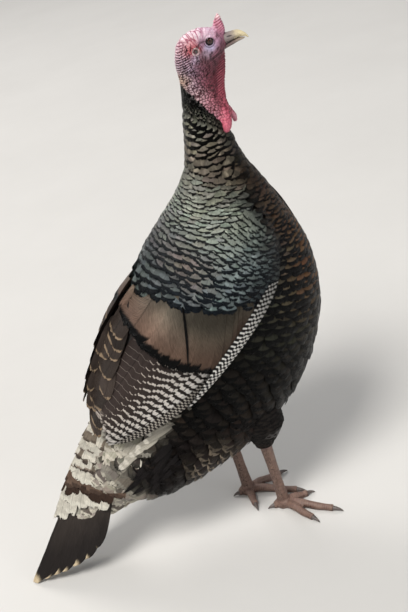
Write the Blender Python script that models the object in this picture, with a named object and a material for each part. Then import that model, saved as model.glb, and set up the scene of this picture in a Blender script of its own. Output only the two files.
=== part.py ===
"""A wild turkey gobbler standing at rest, life size, as solids parted where its body parts meet.

Metres. X runs forward, Y to the bird's left and Z up. The tables below are in the bird's own
frame, whose origin is on the floor under the hips; stand_on_origin() then moves everything so
that the middle of the bounding box's underside is the world origin.
"""

import math

import bmesh
import bpy
from mathutils import Vector

GAP = 0.00015  # each of two faces that meet stands back by this much
SKIN_GAP = 0.0004  # how far a cutter is swelled, so that the piece it cuts stays clear
SIDE = Vector((0.0, 1.0, 0.0))

# The head, neck and trunk are one loft. A row is a section: its point on the back and its
# point on the front (x, z), its half width, and how far from the back it is widest.
CROWN = [
    (0.058, 0.9575, 0.074, 0.9590, 0.0060, 0.50),
    (0.043, 0.9520, 0.094, 0.9535, 0.0150, 0.45),
    (0.031, 0.9410, 0.107, 0.9450, 0.0195, 0.42),
    (0.026, 0.9280, 0.112, 0.9320, 0.0215, 0.38),
    (0.023, 0.9150, 0.110, 0.9200, 0.0220, 0.36),
    (0.022, 0.9020, 0.100, 0.9070, 0.0215, 0.38),
]
NECK = [
    (0.023, 0.8900, 0.084, 0.8850, 0.0220, 0.42),
    (0.023, 0.8770, 0.080, 0.8500, 0.0240, 0.44),
    (0.0215, 0.8630, 0.082, 0.8180, 0.0285, 0.45),
    (0.0190, 0.8490, 0.088, 0.7900, 0.0330, 0.46),
]
TRUNK = [
    (0.013, 0.8130, 0.092, 0.7600, 0.0385, 0.46),
    (0.006, 0.7740, 0.104, 0.7260, 0.0460, 0.46),
    (-0.005, 0.7340, 0.126, 0.6860, 0.0590, 0.47),
    (-0.032, 0.6920, 0.154, 0.6240, 0.0820, 0.48),
    (-0.070, 0.6520, 0.176, 0.5680, 0.1040, 0.48),
    (-0.114, 0.6060, 0.186, 0.5120, 0.1180, 0.48),
    (-0.148, 0.5540, 0.186, 0.4580, 0.1240, 0.49),
    (-0.174, 0.5030, 0.177, 0.4060, 0.1240, 0.50),
    (-0.198, 0.4520, 0.158, 0.3560, 0.1200, 0.51),
    (-0.222, 0.4030, 0.132, 0.3040, 0.1150, 0.51),
    (-0.246, 0.3560, 0.088, 0.2520, 0.1090, 0.51),
    (-0.270, 0.3120, 0.030, 0.2060, 0.1030, 0.53),
    (-0.294, 0.2740, -0.044, 0.1720, 0.0970, 0.55),
    (-0.314, 0.2450, -0.120, 0.1460, 0.0880, 0.57),
    (-0.328, 0.2240, -0.186, 0.1360, 0.0740, 0.60),
    (-0.336, 0.2080, -0.238, 0.1400, 0.0540, 0.66),
]
UNDER_COVERTS = [
    (-0.352, 0.1790, -0.274, 0.1300, 0.0460, 0.70),
    (-0.370, 0.1500, -0.314, 0.1220, 0.0360, 0.70),
    (-0.384, 0.1270, -0.350, 0.1120, 0.0200, 0.65),
]
NECK_SIDES = 18
TRUNK_SIDES = 24
ROUNDNESS = 2.15  # the power of the sections' superellipse; 2 is an ellipse
MANTLE_ROWS = (2, 6)  # the trunk's rows between which the mantle and the breast lie
RUMP_ROWS = (6, 15)  # and those of the rump and the belly

# The halves of the bill, from the face to the tip: x, top, bottom and half width.
BILL_UPPER = [
    (0.0980, 0.9405, 0.9230, 0.0095),
    (0.1120, 0.9400, 0.9240, 0.0088),
    (0.1240, 0.9398, 0.9262, 0.0077),
    (0.1340, 0.9390, 0.9272, 0.0066),
    (0.1420, 0.9345, 0.9262, 0.0046),
    (0.1475, 0.9285, 0.9232, 0.0022),
    (0.1495, 0.9245, 0.9222, 0.0009),
]
BILL_LOWER = [
    (0.0960, 0.9210, 0.9130, 0.0088),
    (0.1100, 0.9225, 0.9160, 0.0080),
    (0.1220, 0.9252, 0.9188, 0.0068),
    (0.1320, 0.9264, 0.9212, 0.0054),
    (0.1395, 0.9256, 0.9222, 0.0034),
    (0.1430, 0.9246, 0.9230, 0.0014),
]
BILL_SIDES = 12

EYE = (0.0815, 0.0122, 0.9385)  # the left eye's centre; the right one mirrors it
EYE_RADIUS = 0.0085
SOCKET_RADIUS = 0.0088
# The snood rises from the forehead: x and z of its stops, half width and half depth.
SNOOD = [
    (0.1030, 0.9420, 0.0090, 0.0105),
    (0.1040, 0.9500, 0.0085, 0.0100),
    (0.1050, 0.9590, 0.0066, 0.0076),
    (0.1064, 0.9670, 0.0040, 0.0046),
    (0.1075, 0.9730, 0.0015, 0.0018),
]
# The dewlap is a flap down the throat, in body rows, with a lobe on each side of its foot.
DEWLAP = [
    (0.074, 0.9190, 0.1055, 0.9190, 0.0050, 0.4),
    (0.070, 0.9080, 0.1060, 0.9080, 0.0080, 0.4),
    (0.068, 0.8850, 0.1015, 0.8850, 0.0078, 0.4),
    (0.066, 0.8600, 0.0948, 0.8600, 0.0085, 0.4),
    (0.066, 0.8350, 0.0925, 0.8350, 0.0120, 0.4),
    (0.068, 0.8120, 0.0965, 0.8120, 0.0140, 0.4),
]
DEWLAP_SIDES = 12
# Each lobe's stops: x, y, z, half width and half depth.
LOBES = {
    "right": [
        (0.0815, -0.0123, 0.8210, 0.0075, 0.0085),
        (0.0805, -0.0211, 0.8110, 0.0085, 0.0095),
        (0.0775, -0.0264, 0.7990, 0.0080, 0.0088),
        (0.0755, -0.0273, 0.7890, 0.0040, 0.0045),
    ],
    "left": [
        (0.0880, 0.0050, 0.8230, 0.0060, 0.0070),
        (0.0950, 0.0080, 0.8110, 0.0055, 0.0058),
        (0.1010, 0.0110, 0.7990, 0.0052, 0.0054),
        (0.1020, 0.0115, 0.7890, 0.0034, 0.0036),
    ],
}
LOBE_SIDES = 8

# The wing lies along a line from the wrist to the tip of the primaries.
WRIST = Vector((0.100, 0.0, 0.600))
WING_SLOPE = math.radians(37.7)
# distance from the wrist, low edge and high edge across the wing, then the distance from the
# bird's middle plane at the low edge, at the fullest place and at the high edge, and thickness
WING = [
    (-0.036, 0.044, 0.064, 0.080, 0.086, 0.080, 0.006),
    (-0.026, 0.026, 0.080, 0.084, 0.100, 0.076, 0.018),
    (-0.004, -0.004, 0.096, 0.096, 0.118, 0.070, 0.034),
    (0.030, -0.034, 0.108, 0.108, 0.133, 0.060, 0.044),
    (0.080, -0.050, 0.113, 0.118, 0.142, 0.046, 0.040),
    (0.140, -0.057, 0.113, 0.123, 0.146, 0.032, 0.032),
    (0.200, -0.061, 0.112, 0.122, 0.146, 0.022, 0.027),
    (0.260, -0.062, 0.111, 0.118, 0.142, 0.016, 0.024),
    (0.320, -0.060, 0.100, 0.112, 0.131, 0.014, 0.022),
    (0.380, -0.051, 0.076, 0.100, 0.115, 0.018, 0.018),
    (0.430, -0.034, 0.050, 0.084, 0.096, 0.026, 0.014),
    (0.470, -0.012, 0.030, 0.070, 0.078, 0.042, 0.008),
    (0.490, 0.002, 0.018, 0.062, 0.067, 0.054, 0.004),
]
WING_EDGE = 0.003  # thickness along its edges
WING_ARC = 7  # points across its outer side
SHOULDER_CUT = 0.115  # the shoulder's feathers end here along the wing, measured at its middle
COVERT_CUT = 0.275

# The folded tail slopes down to the floor. A row is a distance along it, its half width, the
# slope of its two sides away from a level fan, and how far it reaches above and below its
# middle surface at the ridge. Towards the edges both fall to TAIL_EDGE of that.
TAIL_ROOT = Vector((-0.267, 0.0, 0.325))
TAIL_SLOPE = math.radians(55.0)
TAIL_EDGE = 0.5
TAIL_TIP_THICKNESS = 0.002
TAIL_SPOTS = 3  # points on each side of the ridge
STEEP_SWELL = 2.0  # a cutter swells this many times SKIN_GAP across the steep sides
RIDGE_ROUNDING = 1.24  # 1 is a sharp ridge, 2 a parabola
TAIL = [
    (0.040, 0.062, 42, 0.006, 0.009),
    (0.090, 0.078, 46, 0.008, 0.008),
    (0.160, 0.088, 50, 0.007, 0.007),
    (0.225, 0.088, 54, 0.006, 0.006),
    (0.275, 0.079, 55, 0.006, 0.006),
    (0.315, 0.067, 55, 0.005, 0.005),
    (0.355, 0.049, 55, 0.005, 0.005),
    (0.380, 0.028, 55, 0.005, 0.005),
    (0.394, 0.012, 55, 0.004, 0.004),
]
UPPER_COVERTS = [
    (-0.040, 0.060, 40, 0.003, 0.010),
    (-0.005, 0.084, 40, 0.013, 0.008),
    (0.030, 0.100, 42, 0.018, 0.004),
    (0.075, 0.114, 46, 0.020, 0.004),
    (0.120, 0.118, 49, 0.020, 0.004),
    (0.160, 0.110, 51, 0.019, 0.003),
    (0.195, 0.086, 53, 0.017, 0.003),
    (0.222, 0.050, 54, 0.015, 0.003),
    (0.238, 0.018, 54, 0.013, 0.003),
]

# The beard hangs down the middle of the breast: (x, z) of its stops, then its half width.
BEARD = [
    (0.116, 0.6960, 0.004),
    (0.147, 0.6480, 0.006),
    (0.169, 0.5940, 0.006),
    (0.185, 0.5400, 0.005),
    (0.191, 0.5000, 0.002),
]
BEARD_DEPTH = 0.0045

# Feathered thighs and bare legs: hip, ankle and foot of each side (x, y, z).
LEGS = {
    "right": {
        "hip": (0.000, -0.056, 0.300),
        "knee": (0.016, -0.060, 0.230),
        "ankle": (0.012, -0.050, 0.176),
        "foot": (0.026, -0.030, 0.0),
        "toes": {"inner": 4, "middle": -38, "outer": -62, "hind": 175},
    },
    "left": {
        "hip": (-0.030, 0.056, 0.300),
        "knee": (-0.034, 0.060, 0.230),
        "ankle": (-0.038, 0.052, 0.168),
        "foot": (-0.027, 0.046, 0.0),
        "toes": {"inner": -91, "middle": -30, "outer": 12, "hind": 182},
    },
}
# Half width and half depth of a thigh at its stops: hip, mid thigh, knee, mid drumstick, ankle.
THIGH = [(0.034, 0.046), (0.036, 0.047), (0.033, 0.042), (0.025, 0.031), (0.0145, 0.0170)]
THIGH_SIDES = 14
# A shank's share of the way from the ankle to the heel of the foot, then half width and depth.
SHANK = [
    (0.00, 0.0105, 0.0130),
    (0.12, 0.0092, 0.0118),
    (0.40, 0.0080, 0.0106),
    (0.75, 0.0082, 0.0106),
    (1.00, 0.0105, 0.0122),
]
SHANK_SIDES = 12
SHANK_START = 0.0035  # below the ankle, clear of the thigh
HEEL_HEIGHT = 0.020
HEEL_PADS = [(0.0105, 0.0122), (0.0145, 0.0155), (0.0135, 0.0145)]  # radii, top to sole
HEEL_BULGE = 0.009  # how far below its top the foot is thickest
SOLE = 0.010  # how far the foot is drawn below the floor before it is cut flat
# Each toe's length, its claw's length and its number of joints.
TOES = {
    "inner": (0.052, 0.016, 2),
    "middle": (0.104, 0.020, 3),
    "outer": (0.078, 0.017, 3),
    "hind": (0.021, 0.013, 2),
}
TOE_START = 0.004
TOE_RADII = (0.0088, 0.0062)  # at the foot and at the claw
KNUCKLE = 0.0007  # how much thicker a toe is at a joint
TOE_HEIGHT = 0.0062
TOE_ARCH = 0.0045
TOE_SIDES = 8
CLAW_RADII = (0.0050, 0.0006)
CLAW_HEIGHTS = (0.0056, 0.0016)
CLAW_BOW = 0.0018
CLAW_RINGS = 4
CLAW_SIDES = 6

MATERIALS = {}


def material(name, colour, roughness, metallic=0.0):
    """One Principled material under this name, made the first time it is asked for."""
    if name not in MATERIALS:
        made = bpy.data.materials.new(name)
        made.use_nodes = True
        shader = made.node_tree.nodes["Principled BSDF"]
        shader.inputs["Base Color"].default_value = (*colour, 1.0)
        shader.inputs["Roughness"].default_value = roughness
        shader.inputs["Metallic"].default_value = metallic
        made.diffuse_color = (*colour, 1.0)
        MATERIALS[name] = made
    return MATERIALS[name]


def between(rows, steps):
    """The rows with steps - 1 more between each two, on a Catmull-Rom curve through them."""
    curve = []
    for i in range(len(rows) - 1):
        a = rows[max(i - 1, 0)]
        b = rows[i]
        c = rows[i + 1]
        d = rows[min(i + 2, len(rows) - 1)]
        for k in range(steps):
            t = k / steps
            curve.append(tuple(
                0.5 * (2 * q + (r - p) * t + (2 * p - 5 * q + 4 * r - s) * t * t
                       + (3 * q - p - 3 * r + s) * t ** 3)
                for p, q, r, s in zip(a, b, c, d)
            ))
    curve.append(tuple(rows[-1]))
    return curve


def bent(value, power):
    """A cosine or sine pushed out towards a superellipse, with its sign kept."""
    return math.copysign(abs(value) ** (2.0 / power), value)


def section(row, sides, swell=0.0, power=ROUNDNESS):
    """The ring of points of one body row, starting at the front and turning to the left."""
    back = Vector((row[0], 0.0, row[1]))
    front = Vector((row[2], 0.0, row[3]))
    length = (front - back).length
    ahead = (front - back) / length
    middle = back + ahead * length * row[5]
    ring = []
    for k in range(sides):
        turn = 2.0 * math.pi * k / sides
        reach = bent(math.cos(turn), power)
        depth = length * (1.0 - row[5]) if reach > 0.0 else length * row[5]
        wide = bent(math.sin(turn), power) * (row[4] + swell)
        ring.append(middle + ahead * reach * (depth + swell) + SIDE * wide)
    return ring


def ring_normal(row):
    """The direction along the body at a row, from the head towards the tail."""
    ahead = Vector((row[2] - row[0], 0.0, row[3] - row[1])).normalized()
    return ahead.cross(SIDE) * -1.0


def node(name, mesh_maker, finish):
    """A new object from a filled bmesh, facing out and smooth where it is round."""
    mesh = bpy.data.meshes.new(name)
    bmesh.ops.recalc_face_normals(mesh_maker, faces=mesh_maker.faces)
    if mesh_maker.calc_volume(signed=True) < 0.0:
        bmesh.ops.reverse_faces(mesh_maker, faces=mesh_maker.faces)
    mesh_maker.to_mesh(mesh)
    mesh_maker.free()
    mesh.shade_smooth()
    mesh.set_sharp_from_angle(angle=math.radians(50))
    mesh.materials.append(finish)
    made = bpy.data.objects.new(name, mesh)
    bpy.context.scene.collection.objects.link(made)
    return made


def loft(name, rings, finish):
    """A closed solid through rings of equal length, with flat ends.

    Its sides are triangles, so that a swelled copy splits its bent faces the same way.
    """
    shape = bmesh.new()
    loops = [[shape.verts.new(point) for point in ring] for ring in rings]
    count = len(rings[0])
    for first, second in zip(loops, loops[1:]):
        for k in range(count):
            after = (k + 1) % count
            shape.faces.new((first[k], first[after], second[after]))
            shape.faces.new((first[k], second[after], second[k]))
    shape.faces.new(loops[0])
    shape.faces.new(reversed(loops[-1]))
    return node(name, shape, finish)


def guide(made):
    """Marks an object as a cutter, which is no part of the bird."""
    made.hide_render = True
    made.display_type = "WIRE"
    return made


def without_crumbs(mesh):
    """Keeps the one connected shell with the most faces, of those that a cut left."""
    shape = bmesh.new()
    shape.from_mesh(mesh)
    unseen = set(shape.faces)
    shells = []
    while unseen:
        shell = {unseen.pop()}
        edge = list(shell)
        while edge:
            face = edge.pop()
            for side in face.edges:
                for other in side.link_faces:
                    if other in unseen:
                        unseen.remove(other)
                        shell.add(other)
                        edge.append(other)
        shells.append(shell)
    shells.sort(key=len)
    for shell in shells[:-1]:
        bmesh.ops.delete(shape, geom=list(shell), context="FACES")
    shape.to_mesh(mesh)
    shape.free()
    return mesh


def boolean(piece, cutter, operation="DIFFERENCE"):
    """Cuts or joins with the EXACT solver, and keeps the result as the piece's own mesh."""
    step = piece.modifiers.new(cutter.name, "BOOLEAN")
    step.operation = operation
    step.solver = "EXACT"
    step.object = cutter
    bpy.context.view_layer.update()
    graph = bpy.context.evaluated_depsgraph_get()
    mesh = bpy.data.meshes.new_from_object(piece.evaluated_get(graph))
    piece.modifiers.remove(step)
    piece.data = without_crumbs(mesh)
    return piece


def joined(name, pieces):
    """The pieces as one solid under the first one's mesh."""
    first = pieces[0]
    for other in pieces[1:]:
        boolean(first, other, "UNION")
        bpy.data.objects.remove(other)
    first.name = name
    return first


def round_bar(name, stops, finish, sides=10, level=None):
    """A limb through stops of (point, half width, half height), kept above a level if given."""
    points = [Vector(stop[0]) for stop in stops]
    rings = []
    for i, (_, wide, tall) in enumerate(stops):
        before = points[max(i - 1, 0)]
        after = points[min(i + 1, len(points) - 1)]
        along = (after - before).normalized()
        across = along.cross(Vector((0.0, 0.0, 1.0)))
        if across.length < 0.2:
            across = along.cross(Vector((1.0, 0.0, 0.0)))
        across.normalize()
        over = across.cross(along).normalized()
        ring = []
        for k in range(sides):
            turn = 2.0 * math.pi * k / sides
            point = points[i] + across * wide * math.cos(turn) + over * tall * math.sin(turn)
            if level is not None:
                point.z = max(point.z, level)
            ring.append(point)
        rings.append(ring)
    return loft(name, rings, finish)


def body_piece(name, rows, sides, finish, part="whole"):
    """One length of the body, set back from its neighbours at both ends."""
    rings = [section(row, sides) for row in rows]
    for ring, row, way in ((rings[0], rows[0], 1.0), (rings[-1], rows[-1], -1.0)):
        push = ring_normal(row) * GAP * way
        for k, point in enumerate(ring):
            ring[k] = point + push
    if part != "whole":
        quarter = sides // 4
        turns = range(-quarter, quarter + 1) if part == "front" else range(quarter, 3 * quarter + 1)
        halves = []
        for ring, row in zip(rings, rows):
            ahead = Vector((row[2] - row[0], 0.0, row[3] - row[1])).normalized()
            push = ahead * (GAP if part == "front" else -GAP)
            halves.append([ring[k % sides] + push for k in turns])
        rings = halves
    return loft(name, rings, finish)


def build_head_and_neck(skin, red):
    """The head and the bare neck. Returns the head and a cutter of both."""
    head_rows = between(CROWN, 2)
    head = body_piece("head", head_rows, NECK_SIDES, skin)
    neck_rows = between([CROWN[-1]] + NECK, 2)
    body_piece("neck_bare", neck_rows, NECK_SIDES, red)
    swelled = [section(row, NECK_SIDES, SKIN_GAP) for row in between(CROWN + NECK, 2)]
    cutter = guide(loft("cut_head", swelled, skin))
    return head, cutter


def build_trunk(dark, bronze):
    """The feathered neck, mantle, breast, rump and belly. Returns a cutter of them all."""
    steps = 2
    rows = between([NECK[-1]] + TRUNK, steps)
    top = (MANTLE_ROWS[0] + 1) * steps
    waist = (MANTLE_ROWS[1] + 1) * steps
    end = (RUMP_ROWS[1] + 1) * steps
    body_piece("neck_feathered", rows[:top + 1], TRUNK_SIDES, bronze)
    body_piece("mantle", rows[top:waist + 1], TRUNK_SIDES, bronze, "back")
    body_piece("breast", rows[top:waist + 1], TRUNK_SIDES, bronze, "front")
    body_piece("rump", rows[waist:end + 1], TRUNK_SIDES, dark, "back")
    body_piece("belly", rows[waist:end + 1], TRUNK_SIDES, dark, "front")
    swelled = [section(row, TRUNK_SIDES, SKIN_GAP) for row in rows]
    for k, point in enumerate(swelled[-1]):
        swelled[-1][k] = point + ring_normal(rows[-1]) * SKIN_GAP
    return guide(loft("cut_trunk", swelled, dark))


def wing_section(row, mirror):
    """The closed curve round one wing row: its outer side from low to high, then its inner."""
    along, low, high, y_low, y_full, y_high, thick = row
    middle = 0.5 * (low + high)
    outer = []
    for k in range(WING_ARC):
        turn = math.pi * (k / (WING_ARC - 1) - 0.5)
        across = middle + 0.5 * (high - low) * math.sin(turn)
        edge = y_high if turn > 0.0 else y_low
        outer.append(Vector((across, edge + (y_full - edge) * math.cos(turn))))
    inner = []
    for k in range(WING_ARC - 2, 0, -1):
        run = (outer[k + 1] - outer[k - 1]).normalized()
        inward = Vector((run.y, -run.x))
        depth = WING_EDGE + (thick - WING_EDGE) * math.sin(math.pi * k / (WING_ARC - 1))
        inner.append(outer[k] + inward * depth)
    tail_way = Vector((-math.cos(WING_SLOPE), 0.0, -math.sin(WING_SLOPE)))
    up_way = Vector((-math.sin(WING_SLOPE), 0.0, math.cos(WING_SLOPE)))
    return [
        WRIST + tail_way * along + up_way * flat.x + SIDE * flat.y * mirror
        for flat in outer + inner
    ]


def build_wing(side, mirror, finishes, cutters):
    """One folded wing, parted across into its shoulder, its coverts and its flight feathers."""
    rows = between(WING, 2)
    spans = (
        ("shoulder", -1.0, SHOULDER_CUT),
        ("coverts", SHOULDER_CUT, COVERT_CUT),
        ("flight", COVERT_CUT, 1.0),
    )
    for (label, start, stop), finish in zip(spans, finishes):
        inside = [row for row in rows if start < row[0] < stop]
        if start > 0.0:
            inside.insert(0, row_at(rows, start + GAP))
        if stop < 1.0:
            inside.append(row_at(rows, stop - GAP))
        rings = [wing_section(row, mirror) for row in inside]
        piece = loft(f"wing_{label}_{side}", rings, finish)
        for cutter in cutters:
            boolean(piece, cutter)


def row_at(rows, along):
    """The row at a distance along, read between the two rows beside it."""
    for first, second in zip(rows, rows[1:]):
        if first[0] <= along <= second[0]:
            share = (along - first[0]) / (second[0] - first[0])
            return tuple(a + (b - a) * share for a, b in zip(first, second))
    return rows[-1]


def tail_section(row, swell=0.0):
    """The closed curve round one tail row: over the ridge from right to left, then back under."""
    along, half, slope, above, below = row
    down_way = Vector((-math.cos(TAIL_SLOPE), 0.0, -math.sin(TAIL_SLOPE)))
    under_way = Vector((math.sin(TAIL_SLOPE), 0.0, -math.cos(TAIL_SLOPE)))
    upper = []
    lower = []
    for k in range(-TAIL_SPOTS, TAIL_SPOTS + 1):
        share = k / TAIL_SPOTS
        drop = half * math.sin(math.radians(slope)) * abs(share) ** RIDGE_ROUNDING
        wide = half * math.cos(math.radians(slope)) * share
        if abs(k) == TAIL_SPOTS:
            wide += math.copysign(swell, share)
        thin = 1.0 - (1.0 - TAIL_EDGE) * share * share
        spine = TAIL_ROOT + down_way * along + SIDE * wide
        upper.append(spine + under_way * (drop - above * thin - swell * STEEP_SWELL))
        lower.append(spine + under_way * (drop + below * thin + swell * STEEP_SWELL))
    for point in upper:
        point.z = max(point.z, TAIL_TIP_THICKNESS + swell)
    for point in lower:
        point.z = max(point.z, -swell)
    return upper + lower[::-1]


def build_tail(dark, pale, trunk_cutter):
    """The folded tail and the coverts above and below it. Returns the cutters of the first two."""
    rows = between(TAIL, 2)
    tail = loft("tail_feathers", [tail_section(row) for row in rows], dark)
    boolean(tail, trunk_cutter)
    swelled = guide(loft("cut_tail", [tail_section(row, SKIN_GAP) for row in rows], dark))
    upper = loft("tail_coverts_upper", [tail_section(row) for row in UPPER_COVERTS], pale)
    under_rows = between([TRUNK[-1]] + UNDER_COVERTS, 2)
    under = body_piece("tail_coverts_under", under_rows, NECK_SIDES, dark)
    for piece in (upper, under):
        boolean(piece, swelled)
    boolean(upper, trunk_cutter)
    over = guide(loft("cut_coverts", [tail_section(row, SKIN_GAP) for row in UPPER_COVERTS], pale))
    boolean(under, over)
    return swelled, over


def build_floor_cutter(finish):
    """A slab whose top is the floor, which cuts the soles to flats at one level."""
    corners = [(-0.2, -0.2), (0.3, -0.2), (0.3, 0.2), (-0.2, 0.2)]
    rings = [[Vector((x, y, z)) for x, y in corners] for z in (-2.0 * SOLE, 0.0)]
    return guide(loft("cut_floor", rings, finish))


def build_shank(side, top, heel, scales):
    """The bare shank, whose lower end meets the foot."""
    stops = [(top.lerp(heel, share), wide, deep) for share, wide, deep in SHANK]
    round_bar(f"shank_{side}", stops, scales, SHANK_SIDES)


def build_toe(name, foot, ahead, length, joints, scales):
    """One toe with a swelling at each joint, arched a little over the ground."""
    stops = []
    for k in range(joints * 2 + 1):
        share = k / (joints * 2)
        radius = TOE_RADII[0] + (TOE_RADII[1] - TOE_RADII[0]) * share
        if k % 2 == 0:
            radius += KNUCKLE
        reach = TOE_START + (length - TOE_START) * share
        rise = TOE_HEIGHT + TOE_ARCH * math.sin(math.pi * min(share * 1.6, 1.0))
        stops.append((foot + ahead * reach + Vector((0.0, 0.0, rise)), radius, radius))
    return round_bar(name, stops, scales, TOE_SIDES)


def build_claw(name, tip, ahead, length, horn):
    """A claw bowed over and down to its point, with its underside on the floor."""
    stops = []
    for k in range(CLAW_RINGS):
        share = k / (CLAW_RINGS - 1)
        radius = CLAW_RADII[1] + (CLAW_RADII[0] - CLAW_RADII[1]) * (1.0 - share) ** 0.8
        height = CLAW_HEIGHTS[0] + (CLAW_HEIGHTS[1] - CLAW_HEIGHTS[0]) * share
        height += CLAW_BOW * math.sin(math.pi * share)
        stops.append((tip + ahead * length * share + Vector((0.0, 0.0, height)), radius, radius))
    round_bar(name, stops, horn, CLAW_SIDES, 0.0)


def build_leg(side, leg, finishes, trunk_cutter, floor_cutter):
    """A feathered thigh, a shank, and a foot whose toes and heel are cut flat at the floor."""
    feathers, scales, horn = finishes
    hip = Vector(leg["hip"])
    knee = Vector(leg["knee"])
    ankle = Vector(leg["ankle"])
    foot = Vector(leg["foot"])
    places = (hip, hip.lerp(knee, 0.5), knee, knee.lerp(ankle, 0.5), ankle)
    thigh_stops = [(place, *radii) for place, radii in zip(places, THIGH)]
    thigh = round_bar(f"thigh_{side}", thigh_stops, feathers, THIGH_SIDES)
    boolean(thigh, trunk_cutter)

    top = ankle + (foot - ankle).normalized() * SHANK_START
    heel = foot + Vector((0.0, 0.0, HEEL_HEIGHT))
    build_shank(side, top, heel, scales)
    shank_way = (heel - top).normalized()
    heel_places = (
        heel + shank_way * 2.0 * GAP,
        heel + shank_way * HEEL_BULGE,
        foot - Vector((0.0, 0.0, SOLE)),
    )
    heel_stops = [(place, *radii) for place, radii in zip(heel_places, HEEL_PADS)]
    pieces = [round_bar(f"heel_{side}", heel_stops, scales, SHANK_SIDES)]
    for toe, (length, claw, joints) in TOES.items():
        heading = math.radians(leg["toes"][toe])
        ahead = Vector((math.cos(heading), math.sin(heading), 0.0))
        pieces.append(build_toe(f"toe_{toe}_{side}", foot, ahead, length, joints, scales))
        tip = foot + ahead * (length + 2.0 * GAP)
        build_claw(f"claw_{toe}_{side}", tip, ahead, claw, horn)
    whole = joined(f"foot_{side}", pieces)
    boolean(whole, floor_cutter)


def bill_rings(rows, swell=0.0):
    """Rings across the bill from rows of (x, top, bottom, half width)."""
    rings = []
    for x, top, bottom, half in rows:
        tall = 0.5 * (top - bottom) + swell
        ring = []
        for k in range(BILL_SIDES):
            turn = 2.0 * math.pi * k / BILL_SIDES
            wide = (half + swell) * math.cos(turn)
            ring.append(Vector((x, wide, 0.5 * (top + bottom) + tall * math.sin(turn))))
        rings.append(ring)
    return rings


def build_bill(horn, dark_horn, cutter):
    """Two halves of the bill, with the mouth's thin gap between them. Returns the upper's cutter."""
    boolean(loft("bill_upper", bill_rings(BILL_UPPER), horn), cutter)
    boolean(loft("bill_lower", bill_rings(BILL_LOWER), dark_horn), cutter)
    return guide(loft("cut_bill", bill_rings(BILL_UPPER, SKIN_GAP), horn))


def build_eyes(head, iris):
    """Two eyes, each in its own socket in the head."""
    x, y, z = EYE
    for side, mirror in (("right", -1.0), ("left", 1.0)):
        for name, radius in ((f"cut_eye_{side}", SOCKET_RADIUS), (f"eye_{side}", EYE_RADIUS)):
            ball = bmesh.new()
            bmesh.ops.create_uvsphere(ball, u_segments=12, v_segments=7, radius=radius)
            made = node(name, ball, iris)
            made.location = (x, y * mirror, z)
        boolean(head, guide(bpy.data.objects[f"cut_eye_{side}"]))


def build_wattles(red, pink, head_cutter, bill_cutter, trunk_cutter):
    """The snood on the forehead, and the dewlap with its two lobes."""
    snood_stops = [((x, 0.0, z), wide, deep) for x, z, wide, deep in SNOOD]
    snood = round_bar("snood", snood_stops, pink)
    boolean(snood, head_cutter)
    boolean(snood, bill_cutter)
    flap_rings = [section(row, DEWLAP_SIDES) for row in between(DEWLAP, 2)]
    pieces = [loft("throat_flap", flap_rings, red)]
    for side, lobe in LOBES.items():
        stops = [((x, y, z), wide, deep) for x, y, z, wide, deep in lobe]
        pieces.append(round_bar(f"wattle_{side}", stops, pink, LOBE_SIDES))
    dewlap = joined("dewlap", pieces)
    boolean(dewlap, head_cutter)
    boolean(dewlap, trunk_cutter)


def build_beard(bristle, trunk_cutter):
    """The beard of bristles, lying on the breast."""
    stops = [((x, 0.0, z), half, BEARD_DEPTH) for x, z, half in BEARD]
    boolean(round_bar("beard", stops, bristle, 8), trunk_cutter)


def stand_on_origin():
    """Parents every object to one empty and moves it so the box stands centred on the origin."""
    root = bpy.data.objects.new("bird_frame", None)
    bpy.context.scene.collection.objects.link(root)
    low = Vector((9.0, 9.0, 9.0))
    high = -low
    for made in bpy.context.scene.objects:
        if made.type != "MESH":
            continue
        if not made.hide_render:
            for vertex in made.data.vertices:
                point = vertex.co + made.location
                for axis in range(3):
                    low[axis] = min(low[axis], point[axis])
                    high[axis] = max(high[axis], point[axis])
        made.parent = root
    root.location = (-0.5 * (low.x + high.x), -0.5 * (low.y + high.y), -low.z)


def main():
    for old in list(bpy.data.objects):
        bpy.data.objects.remove(old)
    pale_skin = material("head_skin", (0.62, 0.42, 0.46), 0.55)
    red_skin = material("neck_skin", (0.45, 0.12, 0.15), 0.55)
    pink_skin = material("wattle_skin", (0.66, 0.22, 0.25), 0.5)
    bronze = material("body_feathers", (0.16, 0.17, 0.14), 0.45, 0.3)
    black = material("black_feathers", (0.03, 0.028, 0.027), 0.55)
    copper = material("covert_feathers", (0.24, 0.17, 0.11), 0.45, 0.2)
    barred = material("flight_feathers", (0.45, 0.42, 0.38), 0.6)
    white = material("tail_covert_feathers", (0.72, 0.68, 0.58), 0.6)
    tail_dark = material("tail_feathers", (0.09, 0.08, 0.075), 0.55)
    scales = material("leg_scales", (0.38, 0.31, 0.29), 0.6)
    claw = material("claw_horn", (0.06, 0.05, 0.045), 0.4)
    bill = material("bill_horn", (0.62, 0.55, 0.38), 0.4)
    lower_bill = material("lower_bill_horn", (0.36, 0.28, 0.23), 0.45)
    eye = material("eye", (0.05, 0.025, 0.015), 0.1)

    head, head_cutter = build_head_and_neck(pale_skin, red_skin)
    trunk_cutter = build_trunk(black, bronze)
    bill_cutter = build_bill(bill, lower_bill, head_cutter)
    build_eyes(head, eye)
    build_wattles(red_skin, pink_skin, head_cutter, bill_cutter, trunk_cutter)
    build_beard(black, trunk_cutter)
    tail_cutter, covert_cutter = build_tail(tail_dark, white, trunk_cutter)
    floor_cutter = build_floor_cutter(scales)
    for side, mirror in (("right", -1.0), ("left", 1.0)):
        cutters = (trunk_cutter, tail_cutter, covert_cutter)
        build_wing(side, mirror, (bronze, copper, barred), cutters)
        build_leg(side, LEGS[side], (black, scales, claw), trunk_cutter, floor_cutter)
    stand_on_origin()


main()
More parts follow.
